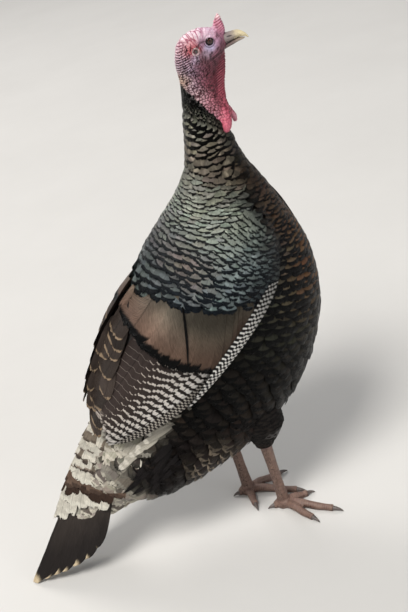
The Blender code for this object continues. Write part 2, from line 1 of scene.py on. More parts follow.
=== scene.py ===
"""Looks of the wild turkey: one skin with its head, the coat of feathers, bill, eyes, claws, floor and light.

Everything is made in the bird's own frame (metres, x forward, y to its left, z up, origin on the
floor under the hips) and moved into the frame's place by ORIGIN.
"""

import math

import bmesh
import bpy
import numpy as np
from mathutils import Matrix, Vector
from mathutils.bvhtree import BVHTree


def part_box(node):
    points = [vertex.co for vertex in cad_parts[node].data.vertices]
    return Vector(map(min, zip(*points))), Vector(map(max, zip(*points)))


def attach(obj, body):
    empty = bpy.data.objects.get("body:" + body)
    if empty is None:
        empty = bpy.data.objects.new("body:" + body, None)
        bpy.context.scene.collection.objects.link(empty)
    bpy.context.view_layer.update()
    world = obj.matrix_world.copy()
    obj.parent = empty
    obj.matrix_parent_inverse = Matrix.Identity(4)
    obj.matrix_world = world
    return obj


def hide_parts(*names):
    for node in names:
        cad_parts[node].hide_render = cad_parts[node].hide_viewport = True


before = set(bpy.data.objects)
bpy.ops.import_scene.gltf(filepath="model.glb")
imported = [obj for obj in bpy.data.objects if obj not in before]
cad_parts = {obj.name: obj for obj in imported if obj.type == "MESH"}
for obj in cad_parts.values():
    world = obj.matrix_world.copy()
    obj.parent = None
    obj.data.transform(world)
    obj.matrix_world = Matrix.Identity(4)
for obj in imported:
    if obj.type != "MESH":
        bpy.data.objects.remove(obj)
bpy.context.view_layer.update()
EYE = np.array((0.0815, -0.0122, 0.9385))
EAR = (0.0555, 0.9285)
ORIGIN = np.mean(np.array(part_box("eye_right"), float), axis=0) - EYE
RNG = np.random.default_rng(11)

# ---------------------------------------------------------------- shapes shared with the solids
# Body rows: back x, z, front x, z, half width, share from the back where it is widest.
BODY = [
    (0.058, 0.9575, 0.074, 0.9590, 0.0060, 0.50),
    (0.043, 0.9520, 0.094, 0.9535, 0.0150, 0.45),
    (0.031, 0.9410, 0.107, 0.9450, 0.0195, 0.42),
    (0.026, 0.9280, 0.112, 0.9320, 0.0215, 0.38),
    (0.023, 0.9150, 0.110, 0.9200, 0.0220, 0.36),
    (0.022, 0.9020, 0.100, 0.9070, 0.0215, 0.38),
    (0.023, 0.8900, 0.084, 0.8850, 0.0220, 0.42),
    (0.023, 0.8770, 0.080, 0.8500, 0.0240, 0.44),
    (0.0215, 0.8630, 0.082, 0.8180, 0.0285, 0.45),
    (0.0190, 0.8490, 0.088, 0.7900, 0.0330, 0.46),
    (0.013, 0.8130, 0.092, 0.7600, 0.0385, 0.46),
    (0.006, 0.7740, 0.104, 0.7260, 0.0460, 0.46),
    (-0.005, 0.7340, 0.126, 0.6860, 0.0590, 0.47),
    (-0.032, 0.6920, 0.154, 0.6240, 0.0820, 0.48),
    (-0.070, 0.6520, 0.176, 0.5680, 0.1040, 0.48),
    (-0.114, 0.6060, 0.186, 0.5120, 0.1180, 0.48),
    (-0.148, 0.5540, 0.186, 0.4580, 0.1240, 0.49),
    (-0.174, 0.5030, 0.177, 0.4060, 0.1240, 0.50),
    (-0.198, 0.4520, 0.158, 0.3560, 0.1200, 0.51),
    (-0.222, 0.4030, 0.132, 0.3040, 0.1150, 0.51),
    (-0.246, 0.3560, 0.088, 0.2520, 0.1090, 0.51),
    (-0.270, 0.3120, 0.030, 0.2060, 0.1030, 0.53),
    (-0.294, 0.2740, -0.044, 0.1720, 0.0970, 0.55),
    (-0.314, 0.2450, -0.120, 0.1460, 0.0880, 0.57),
    (-0.328, 0.2240, -0.186, 0.1360, 0.0740, 0.60),
    (-0.336, 0.2080, -0.238, 0.1400, 0.0540, 0.66),
    (-0.352, 0.1790, -0.274, 0.1300, 0.0460, 0.70),
    (-0.370, 0.1500, -0.314, 0.1220, 0.0360, 0.70),
    (-0.384, 0.1270, -0.350, 0.1120, 0.0200, 0.65),
]
ROUNDNESS = 2.15
# Wing rows: distance from the wrist, low edge, high edge, then y at the low edge, fullest, high edge.
WING = [
    (-0.036, 0.044, 0.064, 0.080, 0.086, 0.080),
    (-0.026, 0.026, 0.080, 0.084, 0.100, 0.076),
    (-0.004, -0.004, 0.096, 0.096, 0.118, 0.070),
    (0.030, -0.034, 0.108, 0.108, 0.133, 0.060),
    (0.080, -0.050, 0.113, 0.118, 0.142, 0.046),
    (0.140, -0.057, 0.113, 0.123, 0.146, 0.032),
    (0.200, -0.061, 0.112, 0.122, 0.146, 0.022),
    (0.260, -0.062, 0.111, 0.118, 0.142, 0.016),
    (0.320, -0.060, 0.100, 0.112, 0.131, 0.014),
    (0.380, -0.051, 0.076, 0.100, 0.115, 0.018),
    (0.430, -0.034, 0.050, 0.084, 0.096, 0.026),
    (0.470, -0.012, 0.030, 0.070, 0.078, 0.042),
    (0.490, 0.002, 0.018, 0.062, 0.067, 0.054),
]
WRIST = np.array((0.100, 0.0, 0.600))
WING_SLOPE = math.radians(37.7)
WING_BACK = np.array((-math.cos(WING_SLOPE), 0.0, -math.sin(WING_SLOPE)))
WING_UP = np.array((-math.sin(WING_SLOPE), 0.0, math.cos(WING_SLOPE)))
# Tail and its upper coverts: distance down, half width, slope of the sides, height above.
TAIL_ROOT = np.array((-0.267, 0.0, 0.325))
TAIL_SLOPE = math.radians(55.0)
TAIL_DOWN = np.array((-math.cos(TAIL_SLOPE), 0.0, -math.sin(TAIL_SLOPE)))
TAIL_UNDER = np.array((math.sin(TAIL_SLOPE), 0.0, -math.cos(TAIL_SLOPE)))
TAIL = [
    (0.040, 0.062, 42, 0.006),
    (0.090, 0.078, 46, 0.008),
    (0.160, 0.088, 50, 0.007),
    (0.225, 0.088, 54, 0.006),
    (0.275, 0.079, 55, 0.006),
    (0.315, 0.067, 55, 0.005),
    (0.355, 0.049, 55, 0.005),
    (0.380, 0.028, 55, 0.005),
    (0.394, 0.012, 55, 0.004),
]
UPPER_COVERTS = [
    (-0.040, 0.060, 40, 0.003),
    (-0.005, 0.084, 40, 0.013),
    (0.030, 0.100, 42, 0.018),
    (0.075, 0.114, 46, 0.020),
    (0.120, 0.118, 49, 0.020),
    (0.160, 0.110, 51, 0.019),
    (0.195, 0.086, 53, 0.017),
    (0.222, 0.050, 54, 0.015),
    (0.238, 0.018, 54, 0.013),
]
RIDGE_ROUNDING = 1.24
LEGS = {
    "right": {
        "hip": (0.000, -0.056, 0.300), "knee": (0.016, -0.060, 0.230), "ankle": (0.012, -0.050, 0.176),
        "foot": (0.026, -0.030, 0.0),
        "toes": {"inner": 4, "middle": -38, "outer": -62, "hind": 175},
    },
    "left": {
        "hip": (-0.030, 0.056, 0.300), "knee": (-0.034, 0.060, 0.230), "ankle": (-0.038, 0.052, 0.168),
        "foot": (-0.027, 0.046, 0.0),
        "toes": {"inner": -91, "middle": -30, "outer": 12, "hind": 182},
    },
}
# Toes: length, claw's length, joints.
TOES = {
    "inner": (0.052, 0.016, 2), "middle": (0.104, 0.020, 3), "outer": (0.078, 0.017, 3),
    "hind": (0.021, 0.013, 2),
}


def curve(rows, per):
    """The rows with per - 1 more between each two, on a Catmull-Rom curve."""
    rows = np.array(rows, float)
    out = []
    for i in range(len(rows) - 1):
        a, b, c = rows[max(i - 1, 0)], rows[i], rows[i + 1]
        d = rows[min(i + 2, len(rows) - 1)]
        for k in range(per):
            t = k / per
            out.append(0.5 * (2 * b + (c - a) * t + (2 * a - 5 * b + 4 * c - d) * t * t
                              + (3 * b - a - 3 * c + d) * t ** 3))
    out.append(rows[-1])
    return np.array(out)


WING_ROWS, TAIL_ROWS, COVERT_ROWS = curve(WING, 8), curve(TAIL, 8), curve(UPPER_COVERTS, 8)


def columns_at(rows, at, columns):
    """Some columns of the rows, read at places along their first column."""
    return [np.interp(at, rows[:, 0], rows[:, k]) for k in columns]


def pair(first, second):
    """Two numbers, or two rows of numbers, side by side."""
    return np.stack(np.broadcast_arrays(first, second), axis=-1)


def toward(first, second, share):
    """The mix of two tones, share being the second's."""
    return np.asarray(first) * (1.0 - share) + np.asarray(second) * share


def hump(value, centre, width):
    """1 at the centre, falling off smoothly on both sides."""
    return np.exp(-((value - centre) / width) ** 2)


def grid_quads(rows, columns):
    """The faces of a grid of points stored row by row."""
    cell = np.arange(rows * columns).reshape(rows, columns)
    return np.stack([cell[:-1, :-1], cell[:-1, 1:], cell[1:, 1:], cell[1:, :-1]], axis=-1).reshape(-1, 4)


class Skin:
    """A surface to walk over, as a fine grid of points: spots are (u, v), each 0 to 1, and u wraps round."""

    def __init__(self, grid):
        self.grid = grid
        self.down, self.count = grid.shape[:2]
        wide = np.concatenate([grid[:, -1:], grid, grid[:, :1]], axis=1)
        self.du = (wide[:, 2:] - wide[:, :-2]) * 0.5 * self.count
        self.dv = np.gradient(grid, axis=0) * (self.down - 1)
        normal = -np.cross(self.du, self.dv)
        self.normal = normal / np.maximum(np.linalg.norm(normal, axis=2, keepdims=True), 1e-9)
        self.size = np.stack([np.linalg.norm(self.du, axis=2), np.linalg.norm(self.dv, axis=2)], axis=2)

    def read(self, field, u, v):
        """The field at (u, v), read between the four grid points round it."""
        y = np.clip(v, 0.0, 1.0) * (self.down - 1)
        y0 = np.minimum(y.astype(int), self.down - 2)
        fy = (y - y0)[..., None]
        x = (u % 1.0) * self.count
        x0 = x.astype(int) % self.count
        x1 = (x0 + 1) % self.count
        fx = (x - np.floor(x))[..., None]
        first = field[y0, x0] * (1 - fx) + field[y0, x1] * fx
        second = field[y0 + 1, x0] * (1 - fx) + field[y0 + 1, x1] * fx
        return first * (1 - fy) + second * fy

    def where(self, spot):
        u, v = spot[..., 0], spot[..., 1]
        normal = self.read(self.normal, u, v)
        normal /= np.maximum(np.linalg.norm(normal, axis=-1, keepdims=True), 1e-9)
        return self.read(self.grid, u, v), normal

    def move(self, spot, ahead, aside, heading):
        """The spots these many metres ahead and aside of a heading, 0 being down the grid."""
        u, v = spot[..., 0], spot[..., 1]
        du, dv = self.read(self.du, u, v), self.read(self.dv, u, v)
        uu, vv, uv = (du * du).sum(-1), (dv * dv).sum(-1), (du * dv).sum(-1)
        down = dv / np.sqrt(np.maximum(vv, 1e-12))[..., None]
        over = du - down * (du * down).sum(-1)[..., None]
        over /= np.maximum(np.linalg.norm(over, axis=-1), 1e-9)[..., None]
        cos, sin = np.cos(heading), np.sin(heading)
        push = down * (cos * ahead - sin * aside)[..., None] + over * (sin * ahead + cos * aside)[..., None]
        a, b = (push * du).sum(-1), (push * dv).sum(-1)
        area = np.maximum(uu * vv - uv * uv, 1e-9)
        return spot + pair((a * vv - b * uv) / area, (b * uu - a * uv) / area)


PER_ROW = 12  # rows of the fine grid to each row of BODY


def body_grid(per=PER_ROW, around=192, inset=0.0):
    """The body's surface: u runs from the front round by its left, v from the crown to the vent."""
    rows = curve(BODY, per)
    turn = 2.0 * np.pi * np.arange(around) / around
    def bent(x):
        return np.sign(x) * np.abs(x) ** (2.0 / ROUNDNESS)
    reach, wide = bent(np.cos(turn)), bent(np.sin(turn))
    back = np.stack([rows[:, 0], 0 * rows[:, 0], rows[:, 1]], axis=1)
    front = np.stack([rows[:, 2], 0 * rows[:, 0], rows[:, 3]], axis=1)
    length = np.linalg.norm(front - back, axis=1, keepdims=True)
    ahead = (front - back) / length
    middle = back + ahead * length * rows[:, 5:6]
    depth = np.where(reach[None, :] > 0, length * (1 - rows[:, 5:6]), length * rows[:, 5:6])
    inset = np.broadcast_to(np.asarray(inset, float), (len(rows),))[:, None]
    depth = np.maximum(depth - inset, 0.001)
    half = np.maximum(rows[:, 4:5] - inset, 0.001)
    grid = middle[:, None] + ahead[:, None] * (reach[None, :] * depth)[..., None]
    grid[..., 1] += wide[None, :] * half
    return grid, middle


def wing_grid(mirror, start=-0.036, stop=0.490, along_count=120, across_count=60):
    """The outer face of a folded wing: u from its low edge to its high edge, v along it."""
    along = np.linspace(start, stop, along_count)[:, None]
    low, high, y_low, y_full, y_high = columns_at(WING_ROWS, along, range(1, 6))
    turn = np.linspace(-0.5, 0.5, across_count)[None, :] * np.pi
    across = 0.5 * (low + high) + 0.5 * (high - low) * np.sin(turn)
    edge = np.where(turn > 0, y_high, y_low)
    out = edge + (y_full - edge) * np.cos(turn)
    grid = WRIST + WING_BACK * along[..., None] + WING_UP * across[..., None]
    return grid + np.array((0.0, mirror, 0.0)) * out[..., None]


# ---------------------------------------------------------------- materials
class Shade:
    """A Principled material whose nodes are added by name."""

    def __init__(self, name, **sockets):
        self.material = bpy.data.materials.new(name)
        self.material.use_nodes = True
        self.tree = self.material.node_tree
        self.shader = self.tree.nodes["Principled BSDF"]
        for socket, value in sockets.items():
            self.shader.inputs[socket.replace("_", " ")].default_value = value

    def node(self, kind, **settings):
        made = self.tree.nodes.new(kind)
        for key, value in settings.items():
            setattr(made, key, value)
        return made

    def link(self, value, socket):
        if isinstance(value, bpy.types.NodeSocket):
            self.tree.links.new(value, socket)
        else:
            socket.default_value = value

    def math(self, operation, a, b=0.0, c=0.0):
        made = self.node("ShaderNodeMath", operation=operation)
        for value, socket in zip((a, b, c), made.inputs):
            self.link(value, socket)
        return made.outputs[0]

    def plus(self, a, b):
        return self.math("ADD", a, b)

    def minus(self, a, b):
        return self.math("SUBTRACT", a, b)

    def times(self, a, b):
        return self.math("MULTIPLY", a, b)

    def mix(self, share, a, b, blend="MIX"):
        made = self.node("ShaderNodeMix", data_type="RGBA", blend_type=blend)
        self.link(share, made.inputs[0])
        for value, socket in ((a, made.inputs[6]), (b, made.inputs[7])):
            self.link((*value, 1.0) if isinstance(value, tuple) and len(value) == 3 else value, socket)
        return made.outputs[2]

    def step(self, value, start, stop, low=0.0, high=1.0):
        made = self.node("ShaderNodeMapRange", interpolation_type="SMOOTHSTEP", clamp=True)
        for item, socket in zip((value, start, stop, low, high), made.inputs):
            self.link(item, socket)
        return made.outputs[0]

    def place(self, scale=(1.0, 1.0, 1.0)):
        where = self.node("ShaderNodeTexCoord").outputs["Object"]
        made = self.node("ShaderNodeVectorMath", operation="MULTIPLY")
        self.link(where, made.inputs[0])
        made.inputs[1].default_value = scale
        return made.outputs[0]

    def noise(self, vector, scale, detail=3.0, rough=0.5, warp=0.0):
        made = self.node("ShaderNodeTexNoise")
        self.link(vector, made.inputs["Vector"])
        for socket, value in (("Scale", scale), ("Detail", detail), ("Roughness", rough),
                              ("Distortion", warp)):
            made.inputs[socket].default_value = value
        return made.outputs["Fac"]

    def cells(self, vector, scale):
        made = self.node("ShaderNodeTexVoronoi")
        self.link(vector, made.inputs["Vector"])
        made.inputs["Scale"].default_value = scale
        return made.outputs["Distance"]

    def attribute(self, name, output="Color"):
        return self.node("ShaderNodeAttribute", attribute_name=name).outputs[output]

    def split(self, vector):
        made = self.node("ShaderNodeSeparateXYZ")
        self.link(vector, made.inputs[0])
        return made.outputs

    def join(self, x, y, z):
        made = self.node("ShaderNodeCombineXYZ")
        for value, socket in zip((x, y, z), made.inputs):
            self.link(value, socket)
        return made.outputs[0]

    def colour(self, value):
        self.link(value, self.shader.inputs["Base Color"])

    def rough(self, value):
        self.link(value, self.shader.inputs["Roughness"])

    def bump(self, height, distance, strength):
        made = self.node("ShaderNodeBump")
        made.inputs["Strength"].default_value = strength
        made.inputs["Distance"].default_value = distance
        self.link(height, made.inputs["Height"])
        self.link(made.outputs["Normal"], self.shader.inputs["Normal"])


def vane_material(name, metallic, roughness, streaks, gloss, ragged=0.05, wrap=-0.03,
                  dusk=(0.05, 0.60, 0.40)):
    """A feather's vane: main tone, tip band, cross bars, shaft, barbs and painted shadow at the base.

    lie is (share along, share across, random), bars is (count, share of light, phase). wrap carries the
    tip's band round the corners, dusk is where the painted shadow under the row above ends and how deep it
    is.
    """
    m = Shade(name, Metallic=metallic, Specular_IOR_Level=gloss)
    along, across, chance = m.split(m.attribute("lie", "Vector"))
    count, duty, phase = m.split(m.attribute("bars", "Vector"))
    tone, edge = m.attribute("tone"), m.attribute("edge")
    band = m.attribute("edge", "Alpha")
    side = m.math("ABSOLUTE", across)
    barb = m.minus(m.times(along, 9.0), m.times(side, 2.2))
    grain = m.noise(m.join(m.times(barb, 9.0), m.times(across, 1.5),
                           m.times(chance, 40.0)), 2.0, 3.0, 0.6)
    patch = m.noise(m.join(m.times(along, 3.0), m.times(across, 2.0),
                           m.times(chance, 57.0)), 1.6, 2.0)
    wobble = m.times(m.minus(grain, 0.5), ragged)
    reach = m.plus(along, m.plus(wobble, m.times(m.times(side, side), wrap)))
    start = m.minus(1.0, band)
    tip = m.step(reach, m.minus(start, 0.022), m.plus(start, 0.022))
    slant = m.times(side, m.step(count, 8.0, 26.0, 0.60, 0.06))
    turn = m.plus(m.minus(m.times(along, count), slant), phase)
    turn = m.plus(turn, m.times(m.minus(patch, 0.5), 0.55))
    wave = m.math("PINGPONG", turn, 0.5)
    half = m.times(duty, 0.5)
    bar = m.minus(1.0, m.step(wave, m.minus(half, 0.035), m.plus(half, 0.035)))
    bar = m.times(bar, m.times(m.step(duty, 0.0, 0.05), m.step(side, 0.86, 0.94, 1.0, 0.0)))
    cover = m.math("MAXIMUM", tip, bar)
    colour = m.mix(cover, tone, edge)
    # painted shadow under the row above: the vane darkens towards its base
    depth = m.step(along, dusk[0], dusk[1], dusk[2], 1.0)
    streak = m.step(grain, 0.30, 0.72, 1.0 - streaks, 1.0 + streaks)
    shaft = m.step(side, 0.015, 0.05, 0.62, 1.0)
    shade = m.times(m.times(depth, streak), shaft)
    shade = m.times(shade, m.step(patch, 0.25, 0.75, 0.90, 1.10))
    colour = m.mix(1.0, colour, m.join(shade, shade, shade), "MULTIPLY")
    m.colour(colour)
    m.rough(m.step(grain, 0.2, 0.8, roughness - 0.08, roughness + 0.12))
    ridge = m.math("MULTIPLY_ADD", m.math("SINE", m.times(barb, 34.0)), 0.35, grain)
    m.bump(ridge, 0.0006, 0.55)
    return m.material


def skin_material():
    """Bare skin: tone comes with the mesh; relief pales the tops and darkens the valleys, partly own colour
    and partly painted shade.
    """
    m = Shade("skin", Subsurface_Weight=0.06, Subsurface_Scale=0.0015, Specular_IOR_Level=0.40)
    m.shader.inputs["Subsurface Radius"].default_value = (1.0, 0.35, 0.25)
    tone, relief = m.attribute("tone"), m.attribute("tone", "Alpha")
    valley = m.attribute("edge")
    where = m.place()
    fine = m.noise(where, 900.0, 4.0, 0.6)
    blotch = m.noise(where, 130.0, 3.0, 0.6)
    height = m.plus(relief, m.times(m.minus(fine, 0.5), 0.35))
    # the valleys' darker tone is partly the skin's own colour and partly painted shade in the hollows
    colour = m.mix(m.step(height, 0.10, 0.75), valley, tone)
    shade = m.step(blotch, 0.3, 0.7, 0.84, 1.14)
    colour = m.mix(1.0, colour, m.join(shade, m.math("POWER", shade, 1.3), m.math("POWER", shade, 1.2)),
                   "MULTIPLY")
    m.colour(colour)
    m.rough(m.step(fine, 0.3, 0.7, 0.38, 0.60))
    m.bump(m.plus(fine, m.times(m.cells(where, 700.0), 0.5)), 0.0007, 0.6)
    return m.material


def horn_material(name, base, tip, dark, low, high):
    """Horn that changes colour forwards along x, with growth lines, worn patches and painted shade in the
    nostril.
    """
    m = Shade(name, Specular_IOR_Level=0.5, Coat_Weight=0.15)
    where = m.place()
    x, _, z = m.split(where)
    lines = m.noise(m.place((260.0, 900.0, 900.0)), 1.0, 4.0, 0.6, 0.4)
    patch = m.noise(where, 160.0, 3.0)
    low, high = low + ORIGIN[0], high + ORIGIN[0]
    share = m.step(m.plus(x, m.times(m.minus(patch, 0.5), 0.012)), low, high)
    colour = m.mix(share, base, tip)
    colour = m.mix(m.step(lines, 0.52, 0.75, 0.0, 0.55), colour, dark)
    # painted shade in the nostril: a dark slit on the upper bill
    ahead = m.math("DIVIDE", m.minus(x, 0.1165 + ORIGIN[0]), 0.0048)
    above = m.math("DIVIDE", m.minus(z, 0.9345 + ORIGIN[2]), 0.0011)
    hole = m.plus(m.times(ahead, ahead), m.times(above, above))
    colour = m.mix(m.step(hole, 0.6, 1.3, 0.9, 0.0), colour, (0.020, 0.010, 0.010))
    m.colour(colour)
    m.rough(m.step(lines, 0.3, 0.7, 0.28, 0.46))
    m.bump(lines, 0.0004, 0.5)
    return m.material


def grained_material(name, low, high, worn, gloss):
    """Dark horn or bristle with a fine grain along it and paler worn places."""
    m = Shade(name, Specular_IOR_Level=gloss)
    where = m.place()
    grain = m.noise(m.place((500.0, 500.0, 900.0)), 1.0, 4.0, 0.6)
    colour = m.mix(m.step(grain, 0.3, 0.75), low, high)
    m.colour(m.mix(m.step(m.noise(where, 220.0), 0.6, 0.8), colour, worn))
    m.rough(m.step(grain, 0.3, 0.7, 0.32, 0.55))
    m.bump(grain, 0.0005, 0.6)
    return m.material


def eye_material(centre):
    """A dark brown iris round a black pupil, with a wet front."""
    m = Shade("eye", Roughness=0.08, Specular_IOR_Level=0.35, Coat_Weight=0.3, Coat_Roughness=0.03)
    where = m.node("ShaderNodeVectorMath", operation="SUBTRACT")
    m.link(m.place(), where.inputs[0])
    where.inputs[1].default_value = tuple(centre)
    x, _, z = m.split(where.outputs[0])
    radius = m.math("SQRT", m.plus(m.times(x, x), m.times(z, z)))
    angle = m.math("ARCTAN2", z, x)
    fibres = m.noise(m.join(m.times(angle, 7.0), m.times(radius, 300.0), 0.0), 1.5, 3.0)
    iris = m.mix(m.step(fibres, 0.3, 0.7), (0.022, 0.007, 0.005), (0.075, 0.024, 0.014))
    iris = m.mix(m.step(radius, 0.0031, 0.0040), iris, (0.008, 0.004, 0.004))
    m.colour(m.mix(m.step(radius, 0.0014, 0.0018), (0.002, 0.002, 0.002), iris))
    return m.material


def floor_material():
    m = Shade("floor", Roughness=0.9, Specular_IOR_Level=0.2)
    where = m.place()
    tone = m.mix(m.noise(where, 2.2, 5.0, 0.6), (0.60, 0.585, 0.56), (0.66, 0.645, 0.62))
    m.colour(tone)
    m.bump(m.noise(where, 60.0, 4.0), 0.001, 0.15)
    return m.material


# ---------------------------------------------------------------- markings
# Feather colours by place: x, z, reach, main tone, tip tone, share of the tip's band.
HAIR = ((0.003, 0.003, 0.003), (0.001, 0.001, 0.001), 0.30)
MARKS = [
    (0.02, 0.87, 0.016, *HAIR),
    (0.03, 0.85, 0.018, *HAIR),
    (0.06, 0.815, 0.020, *HAIR),
    (0.05, 0.832, 0.014, *HAIR),
    (0.02, 0.828, 0.012, *HAIR),
    # Below the black collar the pale olive tones are partly the feathers' bronze and partly painted glints,
    # and the wide black tip bands partly their black and partly painted shade between the rows.
    (0.03, 0.800, 0.015, (0.27, 0.265, 0.215), (0.002, 0.002, 0.002), 0.44),
    (0.09, 0.77, 0.020, (0.060, 0.058, 0.046), (0.003, 0.003, 0.003), 0.30),
    (0.03, 0.770, 0.020, (0.19, 0.165, 0.13), (0.004, 0.004, 0.003), 0.36),
    (0.05, 0.735, 0.025, (0.088, 0.070, 0.051), (0.005, 0.004, 0.004), 0.28),
    (0.10, 0.71, 0.022, (0.040, 0.026, 0.018), (0.008, 0.006, 0.005), 0.22),
    (0.03, 0.695, 0.025, (0.165, 0.143, 0.112), (0.014, 0.012, 0.010), 0.16),
    # The pale silver-green tones on the mantle are partly the feathers' iridescent colour and partly painted
    # sheen.
    (-0.015, 0.70, 0.020, (0.24, 0.25, 0.21), (0.014, 0.013, 0.012), 0.16),
    (0.04, 0.665, 0.018, (0.26, 0.29, 0.23), (0.022, 0.024, 0.022), 0.13),
    (0.05, 0.635, 0.020, (0.15, 0.18, 0.155), (0.018, 0.022, 0.021), 0.14),
    (0.068, 0.665, 0.014, (0.050, 0.052, 0.050), (0.006, 0.006, 0.006), 0.20),
    (0.005, 0.675, 0.018, (0.44, 0.49, 0.40), (0.022, 0.024, 0.022), 0.12),
    (-0.01, 0.650, 0.025, (0.38, 0.42, 0.35), (0.020, 0.022, 0.021), 0.14),
    (-0.05, 0.63, 0.025, (0.20, 0.205, 0.20), (0.018, 0.019, 0.020), 0.16),
    (-0.10, 0.61, 0.025, (0.095, 0.105, 0.105), (0.012, 0.014, 0.016), 0.18),
    (-0.06, 0.60, 0.020, (0.26, 0.175, 0.125), (0.016, 0.017, 0.018), 0.18),
    (-0.03, 0.575, 0.028, (0.175, 0.215, 0.215), (0.008, 0.011, 0.014), 0.20),
    (0.03, 0.60, 0.022, (0.23, 0.275, 0.27), (0.012, 0.015, 0.018), 0.18),
    (0.08, 0.60, 0.018, (0.060, 0.068, 0.070), (0.014, 0.015, 0.017), 0.18),
    (0.05, 0.565, 0.022, (0.060, 0.078, 0.082), (0.010, 0.012, 0.015), 0.18),
    (0.04, 0.53, 0.020, (0.026, 0.031, 0.036), (0.006, 0.007, 0.009), 0.22),
    (-0.09, 0.565, 0.025, (0.100, 0.120, 0.130), (0.006, 0.008, 0.011), 0.24),
    (-0.13, 0.545, 0.025, (0.110, 0.130, 0.122), (0.005, 0.006, 0.007), 0.26),
    (-0.18, 0.47, 0.040, (0.050, 0.050, 0.042), (0.005, 0.005, 0.005), 0.26),
    (-0.22, 0.39, 0.040, (0.090, 0.065, 0.045), (0.014, 0.011, 0.008), 0.22),
    (0.13, 0.64, 0.025, (0.085, 0.055, 0.038), (0.007, 0.006, 0.006), 0.26),
    (0.16, 0.58, 0.030, (0.21, 0.098, 0.046), (0.006, 0.005, 0.005), 0.28),
    (0.12, 0.57, 0.022, (0.060, 0.080, 0.072), (0.006, 0.006, 0.007), 0.26),
    (0.15, 0.50, 0.035, (0.18, 0.086, 0.040), (0.005, 0.005, 0.005), 0.30),
    (0.10, 0.50, 0.025, (0.075, 0.085, 0.062), (0.006, 0.006, 0.006), 0.30),
    (0.15, 0.43, 0.030, (0.060, 0.052, 0.034), (0.005, 0.004, 0.004), 0.30),
    (0.07, 0.43, 0.030, (0.034, 0.034, 0.025), (0.004, 0.004, 0.004), 0.30),
    (0.10, 0.34, 0.045, (0.022, 0.018, 0.014), (0.003, 0.003, 0.003), 0.28),
    (0.00, 0.34, 0.045, (0.014, 0.012, 0.010), (0.003, 0.003, 0.003), 0.28),
    (-0.02, 0.25, 0.030, (0.030, 0.020, 0.016), (0.004, 0.003, 0.003), 0.25),
    (-0.10, 0.20, 0.025, (0.020, 0.015, 0.012), (0.27, 0.22, 0.165), 0.05),
    (-0.17, 0.19, 0.022, (0.012, 0.010, 0.010), (0.006, 0.005, 0.005), 0.20),
    (-0.05, 0.375, 0.030, (0.014, 0.012, 0.011), (0.003, 0.003, 0.003), 0.25),
    (-0.08, 0.340, 0.022, (0.014, 0.012, 0.010), (0.003, 0.003, 0.003), 0.25),
    (-0.10, 0.310, 0.024, (0.014, 0.012, 0.010), (0.003, 0.003, 0.003), 0.25),
    (-0.122, 0.270, 0.026, (0.014, 0.011, 0.010), (0.004, 0.003, 0.003), 0.25),
    (-0.155, 0.240, 0.020, (0.013, 0.010, 0.009), (0.004, 0.003, 0.003), 0.25),
    (-0.200, 0.200, 0.020, (0.013, 0.010, 0.009), (0.005, 0.004, 0.004), 0.25),
    (-0.22, 0.32, 0.020, (0.44, 0.41, 0.34), (0.60, 0.56, 0.47), 0.12),
    (-0.190, 0.290, 0.015, (0.016, 0.012, 0.010), (0.010, 0.008, 0.007), 0.20),
    (-0.215, 0.262, 0.012, (0.016, 0.012, 0.010), (0.010, 0.008, 0.007), 0.20),
    (-0.245, 0.285, 0.012, (0.42, 0.38, 0.31), (0.58, 0.53, 0.44), 0.14),
    (-0.235, 0.235, 0.016, (0.020, 0.015, 0.013), (0.006, 0.005, 0.005), 0.20),
    (-0.270, 0.205, 0.014, (0.40, 0.36, 0.30), (0.56, 0.52, 0.43), 0.12),
    (-0.30, 0.16, 0.030, (0.40, 0.36, 0.30), (0.56, 0.52, 0.43), 0.12),
]
